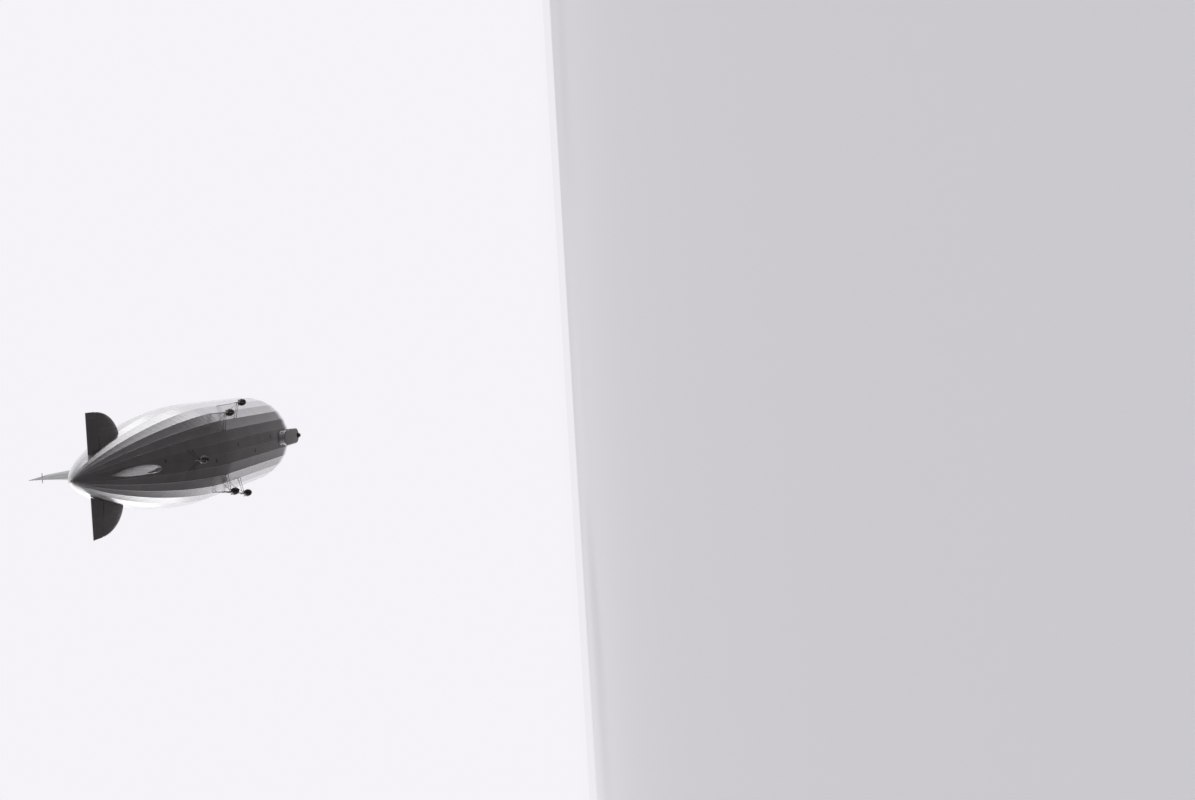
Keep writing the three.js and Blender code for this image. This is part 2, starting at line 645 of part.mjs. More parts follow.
// Steering wheels: station, across, radius, whether it turns across the ship
const WHEELS = [
  [219.1, 0, 0.5, false],
  [217.2, 2.05, 0.45, true],
];
const helm = [mat(213.7, 219.6, 1.4), mat(214.2, 217.6, 2.15)];
for (const [station, across, radius, athwart] of WHEELS) {
  const post = [station - 0.1, across - 0.1, MAT_TOP - 0.02];
  helm.push(box(post, [station + 0.1, across + 0.1, MAT_TOP + 0.95]));
  const hub = [station, across, MAT_TOP + 0.85];
  const axis = athwart ? [0, -1, 0] : [-1, 0, 0];
  const rim = hub.map((value, i) => value + axis[i] * 0.16);
  const outer = hub.map((value, i) => value + axis[i] * 0.22);
  helm.push(rod(hub, outer, 0.08, 8), rod(rim, outer, radius, 16));
}
helm.push(...table(215.2, -1.85, 1.7, 0.9, 0.9));
add("control_room_fittings", union(helm), wood);

// Air-filled landing bumpers: name, station, top, half length, half width, depth, what it is pressed against
const [, tailCarStation, , tailCarHeight] = CARS.at(-1);
const tailCarClearance = carClearance.translate([tailCarStation, 0, tailCarHeight]);
const floorClearance = box([0, -FAR, GONDOLA_BOTTOM - GAP], [LENGTH, FAR, 0]);
const BUMPERS = [
  ["bumper_gondola", 217.9, GONDOLA_BOTTOM, 1.7, 0.9, 1.15, floorClearance],
  ["bumper_tail_car", tailCarStation, tailCarHeight - 1.1, 0.9, 0.55, 0.6, tailCarClearance],
];
for (const [name, station, top, halfLength, halfWidth, depth, carrier] of BUMPERS) {
  const ball = new THREE.SphereGeometry(1, 16, 10).rotateX(Math.PI / 2).scale(halfLength, halfWidth, depth);
  const lower = box([0, -FAR, -FAR], [LENGTH, FAR, top]);
  add(name, solid(ball.translate(station, 0, top)).intersect(lower).subtract(carrier), rubber);
}

export default ship;
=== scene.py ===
"""A rigid airship of the late 1920s as a 1:10 model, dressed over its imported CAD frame.

Shapes are drawn in metres of the full-size ship, with x as a station forward of the tail's tip, y to port
and z up from the hull's axis. They are turned into metres of the model when a piece is made.
"""

from __future__ import annotations

import logging
import math
import random
import sys
from abc import ABC, abstractmethod
from dataclasses import dataclass
from enum import Enum
from typing import Callable, Iterable, Mapping, Optional, Sequence, Union

import bmesh
import bpy
from mathutils import Matrix, Vector

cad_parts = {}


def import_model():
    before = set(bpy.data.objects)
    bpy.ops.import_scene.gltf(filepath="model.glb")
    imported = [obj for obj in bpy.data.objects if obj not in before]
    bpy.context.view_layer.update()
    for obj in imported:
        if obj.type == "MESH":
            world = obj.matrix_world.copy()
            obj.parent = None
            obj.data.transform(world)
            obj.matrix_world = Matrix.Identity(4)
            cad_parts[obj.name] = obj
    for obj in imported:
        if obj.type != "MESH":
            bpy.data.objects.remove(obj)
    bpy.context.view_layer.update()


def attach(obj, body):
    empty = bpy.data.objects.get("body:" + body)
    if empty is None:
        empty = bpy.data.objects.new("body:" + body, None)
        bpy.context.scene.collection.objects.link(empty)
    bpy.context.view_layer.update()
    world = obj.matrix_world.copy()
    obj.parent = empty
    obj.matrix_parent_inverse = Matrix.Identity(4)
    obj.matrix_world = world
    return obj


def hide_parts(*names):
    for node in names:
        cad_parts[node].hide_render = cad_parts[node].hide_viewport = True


LOG = logging.getLogger("airship")

SCALE = 0.1  # metres of the model for one metre of the ship
ORIGIN_STATION = 124.0
GAP = 0.003  # between pieces that lie together
CLEAR = 0.1  # round a moving piece
TURN = 2 * math.pi
SIDES = (-1, 1)  # starboard and port, or aft and fore
UP = (0.0, 0.0, 1.0)

Pair = tuple[float, float]
Point = Sequence[float]
Rows = Sequence[Sequence[Point]]


def to_model(point: Point) -> Vector:
    """Returns the point of the model, in metres of its own frame, for a point of the ship."""
    return Vector(((point[0] - ORIGIN_STATION) * SCALE, point[1] * SCALE, point[2] * SCALE))


def between(low: float, high: float, share: float) -> float:
    """Returns the value that lies a share of the way from low to high."""
    return low + (high - low) * share


def spaced(low: float, high: float, count: int) -> list[float]:
    """Returns count + 1 values from low to high at equal steps."""
    return [between(low, high, step / count) for step in range(count + 1)]


def around(count: int) -> list[float]:
    """Returns a number of angles at equal steps round a full turn."""
    return [TURN * step / count for step in range(count)]


def oval(half_length: float, half_width: float, sides: int) -> list[Pair]:
    """Returns the points of an oval section."""
    return [(half_length * math.cos(a), half_width * math.sin(a)) for a in around(sides)]


def mirrored(half: Sequence[Pair]) -> list[Pair]:
    """Returns an outline from its one half, whose two ends lie on the middle line."""
    return [*half, *((x, -y) for x, y in reversed(half[1:-1]))]


def hoop(station: float, radius: float, sides: int, middle: Pair = (0.0, 0.0), tall: float = 1.0) -> list[Point]:
    """Returns points round a fore-and-aft axis at a station, from the lowest to port."""
    y, z = middle
    return [(station, y + radius * math.sin(a), z - radius * tall * math.cos(a)) for a in around(sides)]


def smooth_curve(pairs: Sequence[Pair]) -> Callable[[float], float]:
    """Makes a smooth curve through known values, without overshoot.

    Args:
        pairs: Places and values, in the order of their places.

    Returns:
        A function that gives the value at any place.
    """
    steps = [(y1 - y0) / (x1 - x0) for (x0, y0), (x1, y1) in zip(pairs, pairs[1:])]
    inner = [0.0 if a * b <= 0 else 2 * a * b / (a + b) for a, b in zip(steps, steps[1:])]
    slopes = [steps[0], *inner, steps[-1]]

    def value(place: float) -> float:
        """Returns the curve's value at a place, held level beyond its ends."""
        if place <= pairs[0][0]:
            return pairs[0][1]
        for (x0, y0), (x1, y1), first, second in zip(pairs, pairs[1:], slopes, slopes[1:]):
            if place <= x1:
                step = x1 - x0
                t = (place - x0) / step
                bend = t * (1 - t) * ((1 - t) * first - t * second)
                return between(y0, y1, t * t * (3 - 2 * t)) + step * bend
        return pairs[-1][1]

    return value


# Shader sums


def shader_sum(operation: str, swapped: bool = False) -> Callable[..., "Link"]:
    """Makes a method that adds a Math node.

    Args:
        operation: The node's operation.
        swapped: Whether the other value comes first.

    Returns:
        A method that takes the other value, if there is one, and returns the node's output.
    """

    def method(self: "Link", other: "Input" = 0.0) -> "Link":
        """Adds the node for this value and another."""
        values = (other, self) if swapped else (self, other)
        return self.nodes.add("ShaderNodeMath", {"operation": operation}, dict(enumerate(values)))

    return method


class Link:
    """A shader node's output, which can be used in Python sums."""

    def __init__(self, nodes: "Nodes", socket: bpy.types.NodeSocket) -> None:
        """Keeps the output and the tree that it is in."""
        self.nodes = nodes
        self.socket = socket

    __add__, __radd__ = shader_sum("ADD"), shader_sum("ADD", swapped=True)
    __sub__, __rsub__ = shader_sum("SUBTRACT"), shader_sum("SUBTRACT", swapped=True)
    __mul__, __rmul__ = shader_sum("MULTIPLY"), shader_sum("MULTIPLY", swapped=True)
    __abs__, most, sine = shader_sum("ABSOLUTE"), shader_sum("MAXIMUM"), shader_sum("SINE")

    def wave(self, length: float) -> "Link":
        """Returns a sine wave of this value, from -1 to 1, with a wave's length."""
        return (self * (TURN / length)).sine()

    def rise(self, low: float, high: float) -> "Link":
        """Returns 0 below low, 1 above high, and a smooth rise between."""
        limits = {"Value": self, "From Min": low, "From Max": high}
        return self.nodes.add("ShaderNodeMapRange", {"interpolation_type": "SMOOTHSTEP"}, limits)

    def fall(self, low: float, high: float) -> "Link":
        """Returns 1 below low, 0 above high, and a smooth fall between."""
        return 1 - self.rise(low, high)


Input = Union[Link, float, Sequence[float]]
Colour = tuple[float, float, float]
BLACK = (0.0, 0.0, 0.0)


def shaded(colour: Colour, factor: float) -> Colour:
    """Returns a colour times a factor, up to white."""
    return tuple(min(1.0, part * factor) for part in colour)


class Nodes:
    """Adds nodes to one shader tree."""

    def __init__(self, tree: bpy.types.NodeTree) -> None:
        """Keeps the tree, emptied."""
        self.tree = tree
        tree.nodes.clear()

    def add(
        self,
        kind: str,
        settings: Optional[Mapping[str, object]] = None,
        inputs: Optional[Mapping[Union[str, int], Input]] = None,
        output: Union[str, int] = 0,
    ) -> Link:
        """Adds one node.

        Args:
            kind: Blender's type name of the node.
            settings: The node's own settings.
            inputs: Values or links for its sockets, by name or number.
            output: The output to return, by name or number.

        Returns:
            The chosen output.
        """
        node = self.tree.nodes.new(kind)
        for name, value in (settings or {}).items():
            setattr(node, name, value)
        for name, value in (inputs or {}).items():
            if isinstance(value, Link):
                self.tree.links.new(value.socket, node.inputs[name])
            else:
                node.inputs[name].default_value = value
        return Link(self, node.outputs[output] if node.outputs else None)

    def place(self) -> Link:
        """Returns the point on the piece in its body's own frame."""
        return self.add("ShaderNodeTexCoord", output="Object")

    def value_of(self, attribute: str) -> Link:
        """Returns a number that the mesh carries."""
        return self.add("ShaderNodeAttribute", {"attribute_name": attribute}, output="Fac")

    def axes(self, vector: Link) -> list[Link]:
        """Returns the three parts of a vector."""
        parts = self.add("ShaderNodeSeparateXYZ", None, {0: vector})
        return [Link(self, output) for output in parts.socket.node.outputs]

    def stretched(self, vector: Link, factors: Point) -> Link:
        """Returns a vector times a factor for each axis."""
        return self.add("ShaderNodeVectorMath", {"operation": "MULTIPLY"}, {0: vector, 1: factors})

    def noise(
        self, vector: Link, scale: float, detail: float = 4.0, rough: float = 0.5, stretch: Optional[Point] = None
    ) -> Link:
        """Returns cloudy noise from 0 to 1.

        Args:
            vector: The place on the surface.
            scale: Lumps for a metre of the model.
            detail: How many finer layers there are.
            rough: How strong the finer layers are.
            stretch: A factor for each axis of the place.

        Returns:
            The noise.
        """
        place = self.stretched(vector, stretch) if stretch else vector
        values = {"Vector": place, "Scale": scale, "Detail": detail, "Roughness": rough}
        return self.add("ShaderNodeTexNoise", None, values)

    def mix(self, share: Input, first: Input, second: Input) -> Link:
        """Mixes two colours.

        Args:
            share: The second colour's share, from 0 to 1.
            first: A colour, a grey or a link.
            second: A colour, a grey or a link.

        Returns:
            The mixed colour.
        """
        values = {0: share}
        for socket, colour in ((6, first), (7, second)):
            if isinstance(colour, (int, float)):
                colour = (colour, colour, colour)
            values[socket] = colour if isinstance(colour, Link) else (*colour, 1.0)
        return self.add("ShaderNodeMix", {"data_type": "RGBA"}, values, 2)

    def surface(
        self, colour: Input, roughness: Input, height: Optional[Link] = None, depth: float = 0.0, **others: Input
    ) -> None:
        """Ends the tree with a surface shader.

        Args:
            colour: The surface's colour.
            roughness: Its roughness.
            height: Its unevenness, from 0 to 1.
            depth: What a height of 1 stands for, in metres of the model.
            others: The shader's other inputs, in small letters with _ for a space.
        """
        values = {"Base Color": colour, "Roughness": roughness}
        for name, value in others.items():
            values[name.replace("_", " ").title().replace("Ior", "IOR")] = value
        if height:
            bump = {"Height": height, "Distance": depth, "Strength": 1.0}
            values["Normal"] = self.add("ShaderNodeBump", None, bump, "Normal")
        shader = self.add("ShaderNodeBsdfPrincipled", None, values)
        self.add("ShaderNodeOutputMaterial", None, {"Surface": shader})


# Finishes


@dataclass(frozen=True)
class Finish(ABC):
    """How one kind of surface looks, and the record's material slot that it fills."""

    name: str
    slot: str

    def material(self) -> bpy.types.Material:
        """Returns the finish's material, which is made the first time."""
        made = bpy.data.materials.get(self.name)
        if made is None:
            made = bpy.data.materials.new(self.name)
            made.use_nodes = True
            self.paint(Nodes(made.node_tree))
        return made

    @abstractmethod
    def paint(self, nodes: Nodes) -> None:
        """Builds the finish's shader."""


@dataclass(frozen=True)
class DopedCloth(Finish):
    """Cotton cloth with aluminium dope, laced over girders and rings, with taped seams.

    The seams lie where the mesh's "along" and "across" say, or at steps over the cloth: a height with the
    step between ribs, and a station with the step between spars.
    """

    pale: float = 0.66
    dark: float = 0.5
    tape: float = 0.11
    soot: float = 0.0
    # Painted shade: how strongly the top of the cloth is darkened, streaked like dust.
    dust: float = 0.0
    metallic: float = 0.2
    gloss: float = 0.0
    seams: Optional[tuple[float, float, float, float]] = None
    stitch: float = 0.16
    thread: float = 0.045

    def _lacing(self, distance: Link, run: Link) -> Link:
        """Returns the stitches beside a seam, from the distance to it and the place along it."""
        return abs(distance - self.tape * 0.7).fall(0.015, 0.035) * run.wave(self.stitch).rise(0.0, 0.5)

    def paint(self, nodes: Nodes) -> None:
        """Builds cloth that shows its tapes, lacing, weave, weather streaks and soot, with painted shade on its top.
        """
        place = nodes.place()
        x, y, z = nodes.axes(place)
        u, v, _ = nodes.axes(nodes.add("ShaderNodeUVMap", {"uv_map": "cloth"}))
        along, across = nodes.value_of("along"), nodes.value_of("across")
        if self.seams:
            rail, rails, frame, frames = self.seams
            along = abs((v - rail).wave(rails * 2)) * (rails / math.pi)
            across = abs((u - frame).wave(frames * 2)) * (frames / math.pi)
        taped = (self.tape, self.tape * 1.25)
        seam = along.fall(*taped).most(across.fall(*taped))
        lacing = self._lacing(along, u).most(self._lacing(across, v))
        blotches = nodes.noise(place, 1.7, 5.0, 0.6)
        streaks = nodes.noise(place, 2.2, 5.0, 0.65, stretch=(0.35, 4.0, 4.0))
        fine = nodes.noise(place, 38.0, 3.0, 0.6)
        tone = nodes.value_of("tone") * 0.34 + blotches * 0.34 + streaks * 0.32
        cloth = nodes.mix(tone.rise(0.28, 0.72), self.dark * 0.5 + self.pale * 0.5, self.pale)
        cloth = nodes.mix(streaks.rise(0.56, 0.8) * 0.5, cloth, (self.dark * 0.98, self.dark * 0.96, self.dark))
        cloth = nodes.mix(seam * 0.3, cloth, self.pale * 1.1)
        cloth = nodes.mix(lacing * 0.45, cloth, self.dark * 0.5)
        coat: Input = self.gloss
        roughness = 0.3 + blotches * 0.14 + fine * 0.06 - seam * 0.05
        metallic = self.metallic - lacing * 0.2
        # Painted shade: the top is darkened towards dark grey in dust-like runs and loses coat and metal, which
        # offsets the strong lamps on it.
        if self.dust:
            runs = nodes.noise(place, 1.6, 5.0, 0.6, stretch=(3.0, 0.5, 0.5))
            painted_top_shade = z.rise(0.3, 1.25) * (0.72 + runs.rise(0.3, 0.7) * 0.28)
            cloth = nodes.mix(painted_top_shade * self.dust, cloth, (0.17, 0.167, 0.163))
            coat = z.fall(0.3, 1.1) * self.gloss
            roughness = roughness + painted_top_shade * 0.32
            metallic = metallic * (1.0 - painted_top_shade * 0.6)
        if self.soot:
            flank = abs(abs(y) - 0.95).fall(0.05, 0.55) * z.fall(-1.15, -0.75) * x.fall(-2.0, 1.6)
            drift = nodes.noise(place, 2.0, 6.0, 0.7, stretch=(0.3, 2.4, 2.4))
            cloth = nodes.mix(flank * drift.rise(0.35, 0.75) * self.soot, cloth, (0.09, 0.085, 0.08))
        weave = u.wave(self.thread) * v.wave(self.thread)
        height = seam * 0.5 + lacing * 0.5 + weave * 0.025 + fine * 0.12 + blotches * 0.9
        sheen = {"metallic": metallic, "coat_weight": coat, "specular_ior_level": 0.5, "coat_roughness": 0.13}
        nodes.surface(cloth, roughness, height, 0.0035, **sheen)


@dataclass(frozen=True)
class SheetMetal(Finish):
    """Aluminium sheet with rows of rivets, brush marks, oil and scuffs."""

    colour: Colour = (0.42, 0.42, 0.43)
    pitch: float = 0.012
    metallic: float = 0.85
    oil: float = 0.5

    def paint(self, nodes: Nodes) -> None:
        """Builds sheet metal with rivets along its seams."""
        place = nodes.place()
        x, _, z = nodes.axes(place)
        brushed = nodes.noise(place, 6.0, 3.0, stretch=(6.0, 60.0, 60.0))
        blotches = nodes.noise(place, 9.0, 5.0, 0.6)
        drips = nodes.noise(place, 2.6, 5.0, 0.65, stretch=(9.0, 9.0, 1.4)).rise(0.52, 0.72)
        heads = {"Vector": place, "Scale": 1 / self.pitch, "Randomness": 0.0}
        cells = nodes.add("ShaderNodeTexVoronoi", None, heads, "Distance")
        row = abs(x.wave(0.09)).rise(0.985, 0.995).most(abs(z.wave(0.14)).rise(0.985, 0.995))
        rivets = cells.fall(0.16, 0.3) * row
        metal = nodes.mix(blotches * 0.5 + brushed * 0.5, shaded(self.colour, 0.78), self.colour)
        nodes.surface(
            nodes.mix(drips * self.oil, metal, (0.07, 0.065, 0.06)),
            0.34 + blotches * 0.2 + brushed * 0.08,
            rivets + brushed * 0.06 + blotches * 0.25,
            0.0014,
            metallic=self.metallic - drips * 0.5 * self.oil,
        )


@dataclass(frozen=True)
class PaintedMetal(Finish):
    """Light alloy bars and fittings under paint, worn through here and there."""

    colour: Colour = (0.3, 0.3, 0.31)
    metallic: float = 0.55
    roughness: float = 0.42

    def paint(self, nodes: Nodes) -> None:
        """Builds painted metal with small bare scuffs and dust."""
        scuffs = nodes.noise(nodes.place(), 55.0, 6.0, 0.7).rise(0.6, 0.72)
        dust = nodes.noise(nodes.place(), 7.0, 4.0, 0.6)
        paint = nodes.mix(dust, shaded(self.colour, 0.75), shaded(self.colour, 1.15))
        nodes.surface(
            nodes.mix(scuffs * 0.55, paint, 0.62),
            self.roughness + dust * 0.18 - scuffs * 0.1,
            dust * 0.4 - scuffs * 0.3,
            0.0008,
            metallic=self.metallic + scuffs * 0.3,
        )


@dataclass(frozen=True)
class CastIron(Finish):
    """Rough castings of the engines, dark and oily."""

    def paint(self, nodes: Nodes) -> None:
        """Builds a grainy casting with oil in its hollows."""
        grain = nodes.noise(nodes.place(), 190.0, 4.0, 0.6)
        oil = nodes.noise(nodes.place(), 16.0, 4.0, 0.6).rise(0.45, 0.65)
        iron = nodes.mix(oil, (0.075, 0.075, 0.08), (0.025, 0.022, 0.02))
        nodes.surface(iron, 0.6 - oil * 0.3 + grain * 0.1, grain, 0.0009, metallic=0.45 - oil * 0.2)


@dataclass(frozen=True)
class Varnished(Finish):
    """Varnished wood with its grain along one axis."""

    pale: Colour = (0.2, 0.105, 0.05)
    dark: Colour = (0.075, 0.035, 0.018)
    grain: Colour = (9.0, 9.0, 0.9)
    coat: float = 0.6

    def paint(self, nodes: Nodes) -> None:
        """Builds laminated wood with streaks and pores under a coat of varnish."""
        place = nodes.stretched(nodes.place(), self.grain)
        rings = nodes.noise(place, 6.0, 5.0, 0.62)
        pores = nodes.noise(place, 22.0, 3.0, stretch=(4.0, 4.0, 1.0))
        bands = nodes.axes(place)[0].wave(0.16) * 0.5 + 0.5
        worn = nodes.noise(nodes.place(), 12.0, 4.0).rise(0.55, 0.75)
        wood = nodes.mix(rings.rise(0.35, 0.65) * 0.7 + bands * 0.3, self.dark, self.pale)
        nodes.surface(
            nodes.mix(pores.rise(0.58, 0.7) * 0.5, wood, shaded(self.dark, 0.5)),
            0.3 + worn * 0.22 + pores * 0.06,
            rings * 0.4 + pores * 0.2,
            0.0006,
            coat_weight=self.coat - worn * 0.35,
            coat_roughness=0.12,
        )


@dataclass(frozen=True)
class Glass(Finish):
    """Window or lamp glass, a little dusty."""

    tint: Colour = (0.1, 0.115, 0.125)
    alpha: float = 0.55

    def paint(self, nodes: Nodes) -> None:
        """Builds see-through glass with dust and wipe marks."""
        film = nodes.noise(nodes.place(), 11.0, 5.0, 0.6).rise(0.5, 0.8)
        wipes = nodes.noise(nodes.place(), 5.0, 3.0, stretch=(3.0, 3.0, 22.0))
        nodes.surface(
            nodes.mix(film * 0.4, self.tint, shaded(self.tint, 2.2)),
            0.05 + film * 0.16 + wipes * 0.04,
            wipes,
            0.0002,
            alpha=self.alpha + film * 0.12,
            specular_ior_level=0.7,
            coat_roughness=0.05,
        )


@dataclass(frozen=True)
class Rubbered(Finish):
    """Rubbered canvas of the landing bumpers, with its gores' seams."""

    def paint(self, nodes: Nodes) -> None:
        """Builds coarse canvas with scuffs, dust and its gore seams' tapes."""
        place = nodes.place()
        x, y, _ = nodes.axes(place)
        weave = x.wave(0.008) * y.wave(0.008)
        scuffs = nodes.noise(place, 5.0, 6.0, 0.7, stretch=(4.0, 12.0, 8.0))
        seam = nodes.value_of("across").fall(0.05, 0.07)
        canvas = nodes.mix(scuffs.rise(0.35, 0.75), (0.05, 0.047, 0.044), (0.15, 0.14, 0.125))
        height = weave * 0.12 + scuffs * 0.5 + seam * 0.7
        taped = nodes.mix(seam * 0.5, canvas, (0.2, 0.19, 0.17))
        nodes.surface(taped, 0.62 + scuffs * 0.25, height, 0.0016, sheen_weight=0.15)


@dataclass(frozen=True)
class Cloth(Finish):
    """Furnishing cloth: curtains, seats and the floor's carpet."""

    colour: Colour = (0.35, 0.3, 0.24)
    thread: float = 0.004
    sheen: float = 0.25

    def paint(self, nodes: Nodes) -> None:
        """Builds woven cloth with a soft worn tone."""
        place = nodes.place()
        x, y, z = nodes.axes(place)
        weave = (x + y).wave(self.thread) * z.wave(self.thread)
        worn = nodes.noise(place, 14.0, 4.0, 0.6)
        cloth = nodes.mix(worn, shaded(self.colour, 0.7), shaded(self.colour, 1.2))
        nodes.surface(cloth, 0.8 + worn * 0.15, weave * 0.5 + worn, 0.0008, sheen_weight=self.sheen)


@dataclass(frozen=True)
class PaleFloor(Finish):
    """The studio's plain pale floor, as pale in the distance as near the ship."""

    tone: float = 0.78
    reach: float = 50.0

    def paint(self, nodes: Nodes) -> None:
        """Builds a matt floor with the slightest unevenness."""
        place = nodes.place()
        x, y, _ = nodes.axes(place)
        cloud = nodes.noise(place, 0.12, 3.0)
        far = (x * x + y * y).rise(self.reach**2, (self.reach * 1.6) ** 2)
        low, high = ((tone, tone * 0.985, tone * 1.02) for tone in (self.tone * 0.98, self.tone))
        nodes.surface(
            nodes.mix(far, nodes.mix(cloud, low, high), BLACK),
            0.85 + cloud * 0.1,
            emission_color=nodes.mix(far, BLACK, (0.85, 0.836, 0.874)),
            emission_strength=1.0,
            specular_ior_level=0.0,
        )


RIBS = (5.0, 1.25)
SURFACE_SEAMS = (*RIBS, 14.4, 3.55)
# The hull's cloth takes painted shade on its top, streaked like dust.
HULL_CLOTH = DopedCloth("hull_cloth", "hull_cover", soot=0.4, dust=0.75, gloss=1.0)
FIN_CLOTH = DopedCloth("fin_cloth", "hull_cover", pale=0.64, dark=0.48, tape=0.07, seams=(*RIBS, 21.5, 5.2))
# Painted shade: the rudders' cloth is darker than the fins', standing in for the shade on their turned faces.
RUDDER_PAINTED_SHADE_CLOTH = DopedCloth("rudder_cloth", "surface_cover", pale=0.4, dark=0.3, tape=0.06, seams=SURFACE_SEAMS)
ELEVATOR_CLOTH = DopedCloth("elevator_cloth", "surface_cover", 0.62, 0.46, 0.06, seams=SURFACE_SEAMS)
GONDOLA_CLOTH = DopedCloth("gondola_cloth", "gondola_skin", 0.6, 0.46, 0.04, seams=(-16.5, 1.55, 0.0, 1.05))
PAN_CLOTH = DopedCloth("pan_cloth", "gondola_skin", pale=0.6, dark=0.46, tape=0.04)
# Painted shade: the engine cars' sheet is far darker than bare aluminium, standing in for the shade that they hang
# in.
CAR_PAINTED_SHADE_SHEET = SheetMetal("car_sheet", "car_skin", colour=(0.16, 0.16, 0.165), metallic=0.6, oil=0.7)
NOSE_SHEET = SheetMetal("nose_sheet", "bare_metal", colour=(0.5, 0.5, 0.51), oil=0.2)
BLADE_SHEATH = SheetMetal("blade_sheath", "bare_metal", colour=(0.52, 0.46, 0.36), oil=0.15, pitch=0.006)
STRUT_PAINT = PaintedMetal("strut_paint", "bare_metal")
SPINDLE_STEEL = PaintedMetal("spindle_steel", "spindle_steel", (0.42, 0.42, 0.43), metallic=0.9, roughness=0.3)
FRAME_PAINT = PaintedMetal("frame_paint", "bare_metal", colour=(0.34, 0.34, 0.35), metallic=0.4)
RADIATOR_CORE = PaintedMetal("radiator_core", "bare_metal", (0.09, 0.09, 0.085), metallic=0.6, roughness=0.55)
ENGINE_IRON = CastIron("engine_iron", "engine_block")
BLADE_WOOD = Varnished("blade_wood", "propeller_wood")
CABIN_WOOD = Varnished("cabin_wood", "cabin_wood", (0.28, 0.17, 0.09), (0.12, 0.065, 0.035), (1.0, 6.0, 6.0), 0.4)
WINDOW_GLASS = Glass("window_glass", "window_glass")
LAMP_GLASS = Glass("lamp_glass", "lamp_glass", tint=(0.75, 0.74, 0.7), alpha=0.8)
BUMPER_CANVAS = Rubbered("bumper_canvas", "bumper_rubber")
CURTAIN_CLOTH = Cloth("curtain_cloth", "gondola_skin", colour=(0.42, 0.38, 0.3))
SEAT_CLOTH = Cloth("seat_cloth", "gondola_skin", colour=(0.2, 0.12, 0.09))
STUDIO_FLOOR = PaleFloor("studio_floor", "")


# Meshes


